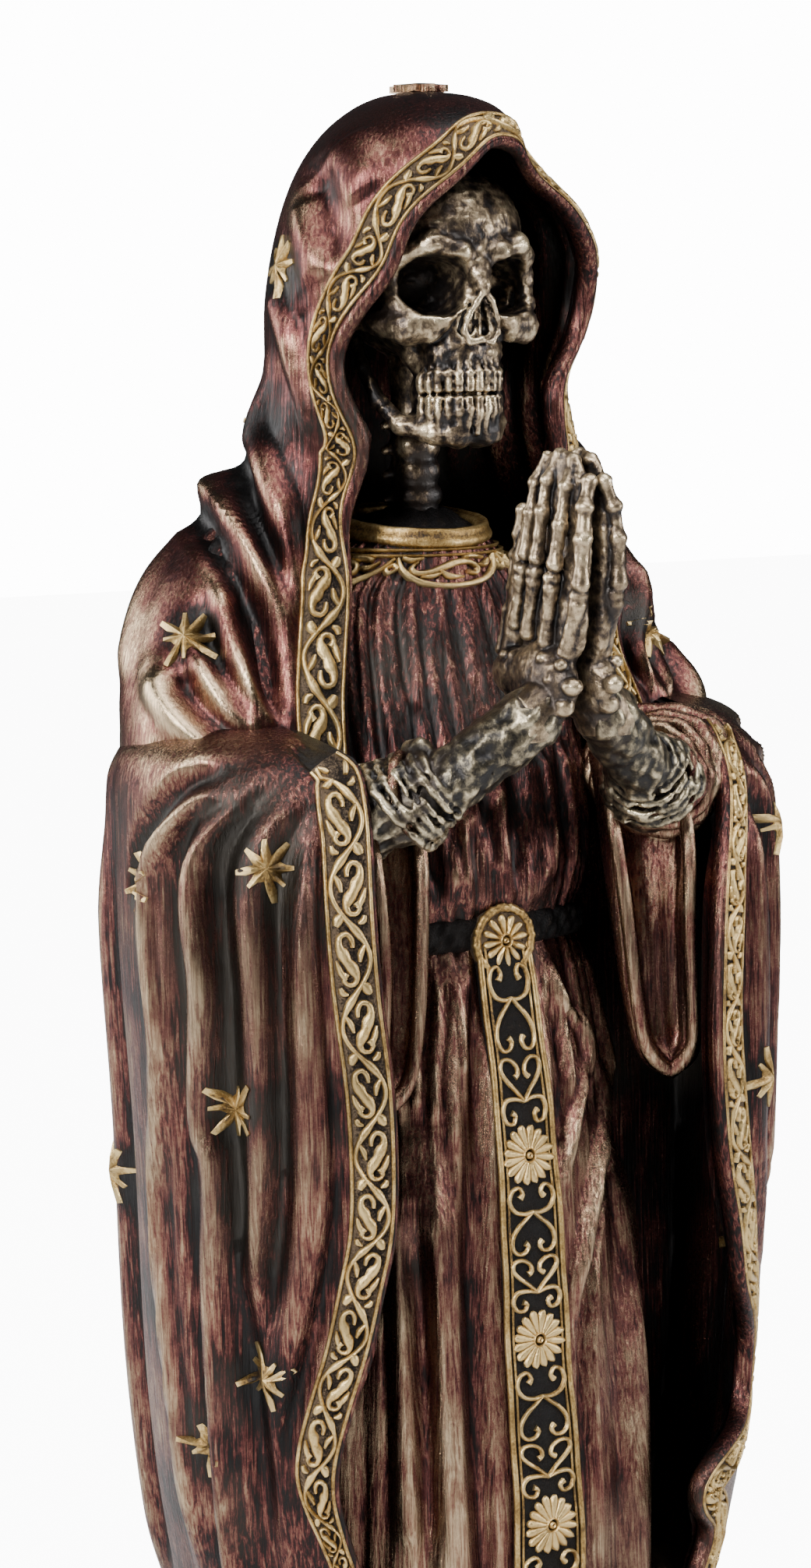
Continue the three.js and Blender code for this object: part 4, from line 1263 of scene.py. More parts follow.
# Two rows of teeth on the jaw's arc, with the ribs of their roots above and below.
def addTeeth(field):
    x, y, radius = skull["arc"]
    addBall(field, (0, -5.6, 240.2), (9.0, 8.6, 3.4), 0.8, False, 2.4)
    addBall(field, (0, -4.8, 233), (7.4, 7.4, 7), 0.5)
    addBall(field, (0, -5.6, 228.4), (8.6, 8.0, 2.3), 0.8, False, 2.4)
    for i in range(skull["teeth"]):
        turn = math.radians((i - (skull["teeth"] - 1) / 2) * 13.6)
        way = np.array([math.sin(turn), -math.cos(turn)])
        for (z, tall), up in ((skull["upper"], 1), (skull["lower"], -1)):
            chance = math.sin(i * 7.7 + up)
            at = np.array([x, y]) + way * (radius + 0.12 * chance)
            addBlock(field, (*at, z), (0.80, 1.3, tall - 0.15), 0.5, turn, 0.05, 0.10 * up)
            root = np.array([x, y]) + way * (radius + 0.25)
            high = z + up * (tall + 2.6 + 0.8 * chance)
            addLimb(field, [(*root, z + up * tall * 0.8, 0.95), (*(root - way * 0.5), high, 0.5)], 0.5)


def addNeck(field):
    addBall(field, (0, 9, 203), (11, 9, 6), 0)
    for i, z in enumerate(np.arange(209.5, 228, 4.6)):
        y = 7.4 + 0.02 * (z - 204)
        addBall(field, (0, y, z), (4.7 + 0.2 * math.sin(i * 2.1), 4.3, 2.5), 0.6, False, 2.6)
        for side in (-1, 1):
            addLimb(field, [(side * 3.8, y + 0.5, z, 1.2), (side * 5.6, y + 1.4, z - 0.6, 0.9)], 0.8)
    addLimb(field, [(0, 8.4, 202, 4.4), (0, 8.0, 230, 4.0), (0, 7, 244, 5.5)], 1.0)


# The near hand: joints from the wrist end of each palm bone to the fingertip, with girth.
hand = {
    "fingers": [
        (1.0, [(-5.2, -31.2, 192.6), (-6.0, -34.6, 202.6), (-6.0, -36.0, 206.2), (-5.4, -37.0, 213.9),
               (-4.6, -37.4, 219.2), (-2.6, -38.8, 223.8)]),
        (1.12, [(-6.0, -36.4, 191.0), (-6.8, -39.9, 202.2), (-6.8, -40.8, 205.6), (-6.0, -41.6, 214.3),
                (-5.0, -42.0, 219.6), (-2.8, -43.0, 224.2)]),
        (1.15, [(-6.0, -42.2, 189.6), (-6.9, -45.4, 201.2), (-6.9, -46.4, 204.8), (-6.1, -47.2, 211.9),
                (-4.9, -47.4, 218.6), (-2.6, -46.8, 223.2)]),
        (1.3, [(-4.8, -46.6, 187.9), (-5.0, -50.6, 198.0), (-5.0, -51.4, 201.2), (-4.6, -51.8, 209.6),
               (-4.0, -51.6, 214.9), (-2.4, -51.0, 219.6)]),
    ],
    "thumb": [(-4.4, -26.0, 187.4), (-3.8, -27.6, 195.6), (-3.4, -28.4, 199.6), (-3.1, -29.0, 206.2),
              (-2.6, -29.4, 209.6), (-2.2, -30.0, 214.2)],
    "wrist": [((-6.0, -32.6, 186.4), 1.2), ((-6.2, -36.6, 185.8), 1.5), ((-6.3, -41.2, 183.6), 1.8),
              ((-5.8, -46.0, 185.0), 1.7), ((-5.0, -49.0, 181.8), 1.9), ((-5.4, -46.8, 178.2), 2.1),
              ((-6.8, -34.0, 178.6), 1.2), ((-6.9, -38.0, 185.5), 1.2), ((-7.0, -43.2, 186.6), 1.3),
              ((-6.6, -47.8, 185.6), 1.2), ((-6.9, -39.6, 180.4), 1.3), ((-6.6, -30.6, 186.4), 1.1),
              ((-7.0, -45.2, 182.8), 1.3), ((-6.9, -36.2, 182.4), 1.1), ((-6.8, -42.6, 177.4), 1.3),
              ((-6.0, -35.6, 180.8), 1.5), ((-4.8, -27.4, 183.6), 1.4), ((-5.6, -29.6, 182.4), 1.3),
              ((-6.2, -41.0, 178.8), 1.8), ((-6.4, -44.2, 181.2), 2.0), ((-6.2, -38.4, 182.0), 1.2),
              ((-5.6, -31.0, 179.6), 1.3), ((-6.2, -33.8, 184.2), 1.0)],
    "forearm": [(-7.0, -42.0, 177.4, 4.9), (-8.4, -41.2, 175.6, 5.5), (-13, -38.6, 171.6, 5.7),
                (-20, -35.4, 165.8, 5.7), (-28, -28.6, 159.4, 5.8)],
    "cuff": [(-39, -14, 157.6, 9.2), (-32.6, -22.6, 159.2, 8.6), (-26.6, -29.2, 162.6, 7.2)],
}


def addBone(field, start, end, girth):
    start, end = np.array(start), np.array(end)
    run = end - start
    shares = (0.05, 0.2, 0.5, 0.8, 0.95)
    radii = (1.38, 1.12, 1.0, 1.08, 1.34)
    line = [(*(start + run * share), radius * girth) for share, radius in zip(shares, radii)]
    addLimb(field, line, 0.35)


# Moves a point of the hand to its place: lower at the fingertips, closer to the middle.
def handPlace(point):
    x, y, z = point[:3]
    drop = 0.5 + 1.3 * float(smoothStep(186, 206, z))
    return np.array((min(x + 0.9, -0.8), y, z - drop))


def makeHand():
    field = freshField((-11.5, -56, 172), (0.4, -22, 228), 0.3)
    addBall(field, (-2.3, -39.6, 196), (2.2, 8.6, 12), 0.6, False, 2.6)
    addBall(field, (-2.5, -42.5, 196), (2.1, 8.2, 11), 0.6, False, 2.6)
    addBall(field, (-2.0, -43.6, 209), (1.8, 8.0, 14), 0.6, False, 2.6)
    addBall(field, (-4.2, -40.4, 182), (3.9, 8.8, 7.5), 1)
    addBall(field, (-4.2, -32.4, 183.2), (3.0, 7.6, 4.6), 1.2)
    addLimb(field, [(-3.0, -28.5, 186, 2.2), (-2.0, -31, 204, 1.7), (-1.6, -33, 210, 1.6)], 1)
    for girth, joints in hand["fingers"]:
        joints = [handPlace(joint) for joint in joints]
        for k in (0, 2, 3, 4):
            addBone(field, joints[k], joints[k + 1], girth * (1.0 if k < 3 else 0.88))
        for k in (3, 4):
            addBall(field, joints[k], np.array((1.35, 1.35, 1.1)) * girth, 0.2)
        addBall(field, np.array(joints[1]) + (0.2, 0, 1.2), (1.7, 1.7, 1.5), 0.4)
    thumb = [handPlace(joint) for joint in hand["thumb"]]
    for k in (0, 2, 4):
        addBone(field, thumb[k], thumb[k + 1], 1.05)
    addLimb(field, [(*joint, 0.85) for joint in thumb], 0.5)
    for at, radius in hand["wrist"]:
        addBall(field, np.array(at) + (0.6, 0, 0), (radius, radius * 1.05, radius * 0.9), 0.25)
    addLimb(field, hand["forearm"][:3], 0.8)
    roughen(field, 0.05, 2.4, 9)
    roughen(field, 0.02, 1.0, 12)
    field["value"][-2:] = 4
    return meshField(field, "nearHand")


def makeForearm():
    field = freshField((-49, -52, 142), (-4, -2, 184), 0.45)
    addLimb(field, hand["forearm"], 0.8)
    addLimb(field, hand["cuff"], 1.5)
    axis = unit(np.array(hand["forearm"][-2][:3]) - np.array(hand["forearm"][-1][:3]))
    mouth = np.array((-21.6, -34.2, 165.6))
    for i, radius in enumerate((5.9, 6.7, 7.4, 8.1, 8.7, 9.1)):
        lean = axis + (0.05 * math.sin(i * 2.3), 0, 0.12 + 0.06 * math.sin(i * 1.7))
        centre = mouth - axis * (0.6 + 1.8 * i)
        addRing(field, centre, lean, radius, 0.75, 0.35)
        addRing(field, centre - axis * 0.9, lean, radius + 0.75, 0.35, 0.25, True)
    for i in range(9):
        turn = i * 0.7
        around = np.array((0.3 * math.cos(turn), 0.4, math.sin(turn)))
        at = mouth - axis * (4.0 + 2.5 * math.sin(i * 1.3)) + around * 6.8
        addBall(field, at, (2.2, 2.2, 3.0), 1.0)
    roughen(field, 0.3, 5.5, 21)
    roughen(field, 0.14, 2.6, 23)
    roughen(field, 0.06, 1.6, 22)
    return meshField(field, "nearForearm")


# The other arm is the same, mirrored.
def mirroredPiece(piece, name):
    deselectAll()
    piece.select_set(True)
    bpy.context.view_layer.objects.active = piece
    bpy.ops.object.duplicate()
    other = bpy.context.object
    other.name = name
    other.data.name = name
    points = readPoints(other)
    points[:, 0] *= -1
    movePoints(other, points)
    other.data.flip_normals()
    return other


# Painted shade on the neck, the back of the jaw and the hollows by the temples, and a painted highlight on
# the forehead.
bonePaintedLight = [((0, 9, 212), (14, 12, 9), -0.4), ((-13.8, 0.5, 236), (3.4, 6, 10), -0.5),
             ((13.8, 0.5, 236), (3.4, 6, 10), -0.5), ((0, -10, 262), (13, 9, 9), 0.07)]


# A point on the front of the robe, at a distance across and a height, lifted off it.
def onRobe(across, z, lift):
    across, z = np.asarray(across, float), np.asarray(z, float)
    base = outline(robeRows, turnAt(robeRows, across, z), z)
    return base + unit(outward(robeRows, base)) * np.asarray(lift, float)[..., None]


sash = {"top": 134, "bottom": 6.5, "topHalf": 5.6, "bottomHalf": 7.8, "front": 1.2, "rim": 0.62}
flowerHeights = [93.0, 58.4, 23.7]
# One repeat of the sash, on one side of its middle: across, height over the flower, half width.
sashStrokes = [
    [(0, 24.1, 0.42), (2.0, 23.9, 0.5), (4.3, 24.6, 0.54), (5.5, 26.4, 0.52), (4.9, 28.3, 0.48),
     (3.2, 28.9, 0.45), (2.3, 27.7, 0.5), (3.0, 26.8, 0.75)],
    [(0, 24.2, 0.4), (1.7, 22.9, 0.45), (3.7, 21.4, 0.5), (5.0, 19.6, 0.5), (5.1, 17.8, 0.48),
     (3.9, 16.6, 0.46), (2.2, 16.7, 0.46), (1.4, 17.8, 0.5), (2.1, 18.5, 0.72)],
    [(0, 9.0, 0.4), (1.8, 10.6, 0.45), (4.1, 12.3, 0.5), (5.4, 13.8, 0.5), (4.9, 15.1, 0.48),
     (3.0, 15.3, 0.46), (1.3, 14.4, 0.46), (1.0, 13.1, 0.5), (1.9, 12.6, 0.72)],
    [(0, 9.0, 0.4), (2.4, 9.5, 0.5), (4.7, 9.3, 0.54), (5.6, 7.8, 0.52), (4.8, 6.2, 0.48), (3.1, 5.9, 0.46),
     (2.5, 7.1, 0.5), (3.4, 7.6, 0.72)],
]


def sashHalf(z):
    return sash["topHalf"] + (sash["bottomHalf"] - sash["topHalf"]) * (sash["top"] - z) / sash["top"]


def onSash(across, z, lift):
    hang = 0.25 * np.sin(np.asarray(z) * 0.11)
    hang = hang + 0.15 * np.sin(np.asarray(z) * 0.31 + np.asarray(across) * 0.2)
    return onRobe(across, z, sash["front"] + hang + lift)


# Petals round a middle: how many, where they start and end, how wide they grow.
def petalStrokes(placeOf, middle, count, near, far, width, height, turn=0.0):
    pieces = []
    for i in range(count):
        angle = turn + i * 2 * math.pi / count
        way = np.array([math.cos(angle), math.sin(angle)])
        reach = far * (1 + 0.04 * math.sin(i * 5.1))
        shares = np.array([0, 0.3, 0.65, 0.88, 1])
        widths = np.array([0.45, 0.75, 1.0, 0.85, 0.3]) * width
        runs = near + (reach - near) * shares
        rows = np.stack([middle[0] + way[0] * runs, middle[1] + way[1] * runs, widths], axis=1)
        pieces.append(strokeOn(placeOf, rows, height, 9))
    return pieces


def circleStroke(placeOf, middle, radius, width, height, count=40):
    angle = np.linspace(0, 2 * math.pi, count)
    rows = np.stack([middle[0] + radius * np.cos(angle), middle[1] + radius * np.sin(angle),
                     np.full(count, width)], axis=1)
    return strokeOn(placeOf, rows, height, count)


def makeSash():
    sheet, u, v = freshGrid("sashGround", 28, 260)
    z = sash["bottom"] + (sash["top"] - sash["bottom"]) * v
    across = (u - 0.5) * 2 * sashHalf(z)
    side = smoothStep(0.9, 1.0, np.abs(u - 0.5) * 2)
    movePoints(sheet, onSash(across, z, -2.0 * side))
    pieces = []
    for k, flower in enumerate(flowerHeights):
        stretch = 1.24 if k == 0 else 1.0
        for rows in sashStrokes:
            rows = np.array(rows)
            z = flower + 5.4 + (rows[:, 1] - 5.4) * stretch
            scale = (sashHalf(z) - 1.3) / 5.9
            for way in (-1, 1):
                stroke = np.stack([way * rows[:, 0] * scale, z, rows[:, 2]], axis=1)
                pieces.append(strokeOn(onSash, stroke, 0.7, len(rows) * 3))
        pieces += petalStrokes(onSash, (0, flower), 16, 1.3, 5.5, 0.98, 0.75, 0.2)
        pieces.append(circleStroke(onSash, (0, flower), 1.25, 0.3, 1.0, 24))
        pieces.append(circleStroke(onSash, (0, flower), 0.4, 0.4, 1.0, 16))
    for rows in sashStrokes[:2]:
        rows = np.array(rows)
        for way in (-1, 1):
            z = flowerHeights[-1] - 34.7 + rows[:, 1]
            stroke = np.stack([way * rows[:, 0] * (sashHalf(z) - 1.3) / 5.9, z, rows[:, 2]], axis=1)
            if z.min() > sash["bottom"]:
                pieces.append(strokeOn(onSash, stroke, 0.7, len(rows) * 3))
    parts = [strokesMesh("sashGold", pieces, False)]
    z = np.linspace(sash["top"], sash["bottom"], 240)
    for way in (-1, 1):
        for inset, radius in ((0.3, sash["rim"]), (1.55, 0.26)):
            line = onSash(way * (sashHalf(z) - inset), z, 0.12)
            up = onSash(way * (sashHalf(z) - inset), z, 1.12) - line
            parts.append(barAlong("sashRim", line, radius, 10, 0.9, up))
    gold = joinPieces(parts, "sashGold")
    smoothFaces(gold, 70)
    smoothFaces(sheet, 60)
    return sheet, gold


# The belt: a rough dark cord round the waist, with a twisted grain.
def makeBelt():
    piece, u, v = freshGrid("belt", 260, 28)
    turn = (u - 0.5) * 236
    t = (v - 0.5) * 2
    z = 134 + 3.5 * t
    base = outline(robeRows, turn, np.full(len(z), 134.0))
    facing = unit(outward(robeRows, base) * (1, 1, 0))
    swell = -1.4 + 3.0 * np.sqrt(np.maximum(1 - t ** 4, 0))
    twist = 0.28 * np.sin(np.radians(turn) * 34 + t * 2.6) + 0.16 * np.sin(np.radians(turn) * 71 - t * 4.1)
    points = base + facing * (swell + twist * (1 - t ** 4))[:, None]
    points[:, 2] = z + 0.35 * np.sin(np.radians(turn) * 3 + 1)
    movePoints(piece, points)
    smoothFaces(piece, 60)
    return piece


buckle = {"at": (0, -19.6, 132.6), "radius": 6.7, "rim": 0.8, "petals": 12}


def onBuckle(across, up, lift):
    x, y, z = buckle["at"]
    across, up = np.asarray(across, float), np.asarray(up, float)
    dome = 0.35 * (1 - (across ** 2 + up ** 2) / buckle["radius"] ** 2)
    return np.stack([x + across, y - dome - np.asarray(lift, float), z + up], axis=-1)


def makeBuckle():
    deselectAll()
    x, y, z = buckle["at"]
    bpy.ops.mesh.primitive_cylinder_add(vertices=96, radius=buckle["radius"] * mm, depth=3.4 * mm)
    disc = bpy.context.object
    disc.name = "buckleGround"
    points = readPoints(disc)
    lift = points[:, 2] - 1.7
    movePoints(disc, np.stack([x + points[:, 0], y - lift - 0.2, z + points[:, 1]], axis=1))
    weldSeams(disc, 0.001, True)
    smoothFaces(disc, 40)
    pieces = petalStrokes(onBuckle, (0, 0), buckle["petals"], 1.35, 4.95, 0.78, 0.95, 0.14)
    pieces.append(circleStroke(onBuckle, (0, 0), 1.2, 0.34, 1.1, 28))
    pieces.append(circleStroke(onBuckle, (0, 0), 0.36, 0.36, 1.0, 16))
    gold = strokesMesh("buckleGold", pieces, False)
    deselectAll()
    bpy.ops.mesh.primitive_torus_add(major_segments=120, minor_segments=16, major_radius=6.1 * mm,
                                     minor_radius=buckle["rim"] * mm)
    rim = bpy.context.object
    points = readPoints(rim)
    angle = np.arctan2(points[:, 1], points[:, 0])
    nick = 0.10 * np.sin(angle * 23) * np.sin(angle * 7 + 1)
    points = points * (1 + nick[:, None] * (0.2, 0.2, 0.8))
    movePoints(rim, np.stack([x + points[:, 0], y - points[:, 2] - 0.25, z + points[:, 1]], axis=1))
    gold = joinPieces([gold, rim], "buckleGold")
    smoothFaces(gold, 70)
    return disc, gold


collar = {"at": (0, 9.5, 208), "major": 13.5, "minor": 1.7, "tilt": 9, "stretch": (1.02, 0.97, 1.35)}
# One scallop under the collar: distance along, drop below the collar, half width.
scallopStrokes = [
    [(-10.2, 0.6, 0.39), (-8.6, 2.6, 0.55), (-5, 4.9, 0.60), (0, 5.8, 0.62), (5, 4.9, 0.60),
     (8.6, 2.6, 0.55), (10.2, 0.6, 0.39)],
    [(-6.4, 1.3, 0.39), (-7.2, 2.3, 0.52), (-6.2, 3.2, 0.55), (-4.2, 3.2, 0.65), (-1.6, 2.3, 0.78),
     (1.0, 1.5, 0.72), (3.4, 1.6, 0.59), (4.6, 2.7, 0.52), (3.8, 3.7, 0.47), (2.6, 3.3, 0.52)],
    [(-2.4, 2.9, 0.33), (-0.6, 4.0, 0.65), (1.4, 4.2, 0.33)],
    [(4.9, 2.2, 0.26), (6.6, 2.2, 0.59), (8.0, 1.2, 0.26)],
    [(10.5, 1.7, 0.45), (9.6, 2.4, 0.45), (10.5, 3.2, 0.45), (11.4, 2.4, 0.45), (10.5, 1.7, 0.45)],
    [(-9.4, 0.4, 0.4), (-7.6, 0.9, 0.6), (-5.6, 0.6, 0.4)],
    [(-5.2, 3.9, 0.3), (-3.4, 3.9, 0.6), (-1.8, 3.2, 0.3)],
    [(2.2, 0.6, 0.35), (4.4, 0.5, 0.6), (6.6, 0.9, 0.35)],
]


# A point under the collar: along from the front, down from the collar, off the robe.
def underCollar(along, drop, lift):
    along, drop = np.asarray(along, float), np.asarray(drop, float)
    z = 203.4 - drop
    base = outline(robeRows, along * 3.2, z)
    return base + unit(outward(robeRows, base)) * (0.25 + np.asarray(lift, float))[..., None]


def makeScallops():
    pieces = []
    for k in (-2, -1, 0, 1, 2):
        for rows in scallopStrokes:
            pieces.append(strokeOn(underCollar, np.array(rows) + (21.0 * k, 0, 0), 0.75, len(rows) * 3))
    along = np.linspace(-52, 52, 160)
    for drop in (0.1, -0.9):
        rows = np.stack([along, drop + 0 * along, 0.3 + 0 * along], axis=1)
        pieces.append(strokeOn(underCollar, rows, 0.7, 200))
    piece = strokesMesh("scallops", pieces, True)
    smoothFaces(piece, 70)
    return piece


# The gathered cloth inside the collar, up to the neck, which takes the near-black paint as painted shade in
# the neck hole.
def makeMound():
    deselectAll()
    bpy.ops.mesh.primitive_uv_sphere_add(segments=112, ring_count=56, radius=mm)
    piece = bpy.context.object
    piece.name = "collarMound"
    points = readPoints(piece)
    turn = np.arctan2(points[:, 0], -points[:, 1])
    points *= (13.2, 12.8, 8.5)
    crease = np.sin(turn * 11 + points[:, 2] * 0.5) + 0.6 * np.sin(turn * 23 - points[:, 2] * 0.9)
    points[:, :2] *= (1 + 0.022 * crease)[:, None]
    points[:, 2] += 0.35 * np.sin(turn * 5 + points[:, 0] * 0.7)
    movePoints(piece, points + np.array((0, 9.5, 204)))
    smoothFaces(piece)
    return piece


def makeCollar():
    deselectAll()
    bpy.ops.mesh.primitive_torus_add(major_segments=220, minor_segments=28, major_radius=collar["major"] * mm,
                                     minor_radius=collar["minor"] * mm)
    piece = bpy.context.object
    piece.name = "collar"
    piece.data.name = "collar"
    points = readPoints(piece)
    angle = np.arctan2(points[:, 1], points[:, 0])
    wide = np.hypot(points[:, 0], points[:, 1])
    tube = np.arctan2(points[:, 2], wide - collar["major"])
    groove = 0.2 * np.cos(tube * 5 + 0.4) + 0.05 * np.sin(angle * 11 + tube * 2.2) * np.cos(angle * 4)
    grow = 1 + groove / collar["minor"]
    ring = collar["major"] + (wide - collar["major"]) * grow
    points = np.stack([np.cos(angle) * ring, np.sin(angle) * ring, points[:, 2] * grow], axis=1)
    points *= np.array(collar["stretch"])
    tilt = math.radians(collar["tilt"])
    y = points[:, 1] * math.cos(tilt) - points[:, 2] * math.sin(tilt)
    z = points[:, 1] * math.sin(tilt) + points[:, 2] * math.cos(tilt)
    movePoints(piece, np.stack([points[:, 0], y, z], axis=1) + collar["at"])
    smoothFaces(piece, 60)
    return piece


# The star lying on the crown of the hood.
def makeCrownStar():
    deselectAll()
    bpy.ops.mesh.primitive_cylinder_add(vertices=16, radius=5.6 * mm, depth=1.6 * mm, end_fill_type="TRIFAN")
    piece = bpy.context.object
    piece.name = "crownStar"
    piece.data.name = "crownStar"
    points = readPoints(piece)
    angle = np.degrees(np.arctan2(points[:, 1], points[:, 0]))
    inner = np.abs((angle / 22.5) % 2 - 1) < 0.5
    points[inner, :2] *= 0.52
    points[:, 2] = np.where(points[:, 2] > 0, 289.5, 288.2)
    middle = np.hypot(points[:, 0], points[:, 1]) < 0.1
    points[middle & (points[:, 2] > 289), 2] = 290
    points[:, 1] += 4
    movePoints(piece, points)
    smoothFaces(piece, 30)
    return piece


foot = {"half": (38, 34), "middle": -6, "height": 7}


# The low foot, and the flat underside that closes the mantle.
def makeFoot():
    piece, u, v = freshGrid("foot", 120, 20)
    angle = u * 2 * math.pi
    run = v * 3
    inset = np.where(run < 1, (1 - run), 0) * 30
    inset = np.where(run > 2, (run - 2) ** 1.5 * 14, inset)
    z = np.clip((run - 1), 0, 1) * foot["height"]
    halfX, halfY = foot["half"]
    c, s = np.cos(angle), np.sin(angle)
    roundness = (np.abs(c) ** 2.4 + np.abs(s) ** 2.4) ** (-1 / 2.4)
    x = c * roundness * np.maximum(halfX - inset, 0)
    y = foot["middle"] + s * roundness * np.maximum(halfY - inset, 0)
    z = z - 0.9 * smoothStep(1.75, 2.1, run) + 0.9 * smoothStep(2.0, 2.3, run)
    movePoints(piece, np.stack([x, y, np.clip(z, 0, foot["height"])], axis=1))
    weldSeams(piece, 0.01, True)
    smoothFaces(piece, 50)

    under, u, v = freshGrid("underside", 120, 12)
    angle = (u - 0.5) * 360
    rim = outline(mantleRows, angle, np.zeros(len(angle)), -1.2)
    rim[:, 1] = np.maximum(rim[:, 1], -26)
    top = v > 0.5
    share = np.where(top, 2 - v * 2, v * 2)
    points = np.array((0.0, 4.0, 0.0)) + (rim - np.array((0.0, 4.0, 0.0))) * share[:, None]
    points[:, 2] = np.where(top, 2.2, 0.05)
    movePoints(under, points)
    weldSeams(under, 0.01, True)
    smoothFaces(under, 40)
    return [piece, under]


# Adds a node, sets its inputs by name and links others in.
def addNode(tree, kind, settings=None, **inputs):
    node = tree.nodes.new(kind)
    for key, value in (settings or {}).items():
        setattr(node, key, value)
    for key, value in inputs.items():
        socket = node.inputs[int(key[1:])] if key[0] == "i" and key[1:].isdigit() else node.inputs[key]
        if isinstance(value, bpy.types.NodeSocket):
            tree.links.new(value, socket)
        else:
            socket.default_value = value
    return node


def sumOf(tree, *values):
    total = values[0]
    for value in values[1:]:
        total = addNode(tree, "ShaderNodeMath", {"operation": "ADD"}, i0=total, i1=value).outputs[0]
    return total


# A texture's value about zero, made stronger or weaker.
def swing(tree, value, amount):
    centred = addNode(tree, "ShaderNodeMath", {"operation": "SUBTRACT"}, i0=value, i1=0.5).outputs[0]
    return addNode(tree, "ShaderNodeMath", {"operation": "MULTIPLY"}, i0=centred, i1=amount).outputs[0]


# Painted and rubbed metal: dark in the hollows, where the dark wash and painted shade lie, colour on the
# cloth, pale on the ridges, where rubbing and painted highlight lie.
def wornAndShadedPaint(name, look):
    material = bpy.data.materials.new(name)
    material.use_nodes = True
    tree = material.node_tree
    shader = tree.nodes["Principled BSDF"]
    place = addNode(tree, "ShaderNodeTexCoord").outputs["Object"]
    stretched = addNode(tree, "ShaderNodeMapping", Vector=place, Scale=look["streakScale"]).outputs[0]
    streak = addNode(tree, "ShaderNodeTexNoise", Vector=stretched, Scale=1.0, Detail=7.0, Roughness=0.68,
                     Distortion=0.5).outputs["Fac"]
    patch = addNode(tree, "ShaderNodeTexNoise", Vector=place, Scale=look["patchScale"], Detail=4.0,
                    Roughness=0.6).outputs["Fac"]
    grain = addNode(tree, "ShaderNodeTexNoise", Vector=place, Scale=look["grainScale"], Detail=3.0,
                    Roughness=0.7).outputs["Fac"]
    wearAndPaintedLight = addNode(tree, "ShaderNodeAttribute", {"attribute_name": "wearAndPaintedLight"}).outputs["Fac"]
    value = sumOf(tree, wearAndPaintedLight, swing(tree, streak, look["streak"]), swing(tree, patch, look["patch"]),
                  swing(tree, grain, look["grain"]))
    ramp = addNode(tree, "ShaderNodeValToRGB", Fac=value)
    stops = ramp.color_ramp.elements
    while len(stops) < len(look["colours"]):
        stops.new(0.5)
    for stop, (at, colour) in zip(stops, look["colours"]):
        stop.position = at
        stop.color = (*colour, 1)
    cloudy = addNode(tree, "ShaderNodeTexNoise", Vector=place, Scale=look["tintScale"], Detail=3.0)
    tint = cloudy.outputs["Fac"]
    share = addNode(tree, "ShaderNodeMapRange", Value=tint, **{"From Min": 0.52, "From Max": 0.66,
                                                               "To Min": 0.0, "To Max": look["tintShare"]})
    mix = addNode(tree, "ShaderNodeMix", {"data_type": "RGBA", "blend_type": "MIX"}, i0=share.outputs[0],
                  i6=ramp.outputs["Color"], i7=(*look["tint"], 1))
    tree.links.new(mix.outputs[2], shader.inputs["Base Color"])
    rough = addNode(tree, "ShaderNodeMapRange", Value=sumOf(tree, value, swing(tree, grain, 0.6)),
                    **{"From Min": 0.0, "From Max": 1.0,
                       "To Min": look["rough"][0], "To Max": look["rough"][1]})
    tree.links.new(rough.outputs[0], shader.inputs["Roughness"])
    metal = addNode(tree, "ShaderNodeMapRange", Value=value, **{"From Min": 0.2, "From Max": 0.6,
                                                                "To Min": look["metal"][0],
                                                                "To Max": look["metal"][1]})
    tree.links.new(metal.outputs[0], shader.inputs["Metallic"])
    shader.inputs["Specular IOR Level"].default_value = look.get("gloss", 0.5)
    height = sumOf(tree, swing(tree, streak, look["bumpStreak"]), swing(tree, grain, look["bumpGrain"]))
    bump = addNode(tree, "ShaderNodeBump", Height=height, Strength=0.8, Distance=look["bump"] * mm)
    tree.links.new(bump.outputs[0], shader.inputs["Normal"])
    return material


burgundyLook = {
    "streakScale": (1700, 1700, 85), "patchScale": 60, "grainScale": 1700, "tintScale": 26,
    "streak": 1.1, "patch": 0.7, "grain": 0.15,
    "colours": [(0.34, (0.003, 0.0025, 0.0025)), (0.44, (0.016, 0.008, 0.007)), (0.52, (0.068, 0.021, 0.02)),
                (0.6, (0.13, 0.054, 0.042)), (0.72, (0.21, 0.13, 0.083)), (0.9, (0.4, 0.3, 0.19))],
    "tint": (0.05, 0.042, 0.032), "tintShare": 0.4,
    "rough": (0.38, 0.2), "metal": (0.6, 1.0), "bump": 0.24, "bumpStreak": 1.0, "bumpGrain": 0.1,
}
hoodLook = {**burgundyLook, "streak": 0.7, "patch": 0.8, "grain": 0.1, "bump": 0.16}
goldLook = {
    "streakScale": (500, 500, 300), "patchScale": 160, "grainScale": 2200, "tintScale": 90,
    "streak": 0.9, "patch": 0.9, "grain": 0.8,
    "colours": [(0.22, (0.006, 0.004, 0.003)), (0.4, (0.05, 0.028, 0.011)), (0.52, (0.18, 0.108, 0.035)),
                (0.68, (0.32, 0.205, 0.072)), (0.92, (0.54, 0.39, 0.175))],
    "tint": (0.12, 0.075, 0.026), "tintShare": 0.5,
    "rough": (0.5, 0.3), "metal": (0.4, 0.9), "bump": 0.3, "bumpStreak": 0.4, "bumpGrain": 0.5,
}
boneLook = {
    "streakScale": (420, 420, 260), "patchScale": 130, "grainScale": 1300, "tintScale": 60,
    "streak": 1.1, "patch": 1.4, "grain": 0.4,
    "colours": [(0.26, (0.004, 0.003, 0.003)), (0.43, (0.013, 0.01, 0.009)), (0.52, (0.055, 0.04, 0.029)),
                (0.62, (0.15, 0.11, 0.07)), (0.74, (0.34, 0.26, 0.165)), (0.92, (0.6, 0.49, 0.32))],
    "tint": (0.05, 0.034, 0.024), "tintShare": 0.5,
    "rough": (0.42, 0.26), "metal": (0.5, 0.85), "bump": 0.3, "bumpStreak": 0.6, "bumpGrain": 0.4,
}
handLook = {**boneLook, "streak": 0.7, "patch": 0.6, "grain": 0.25}
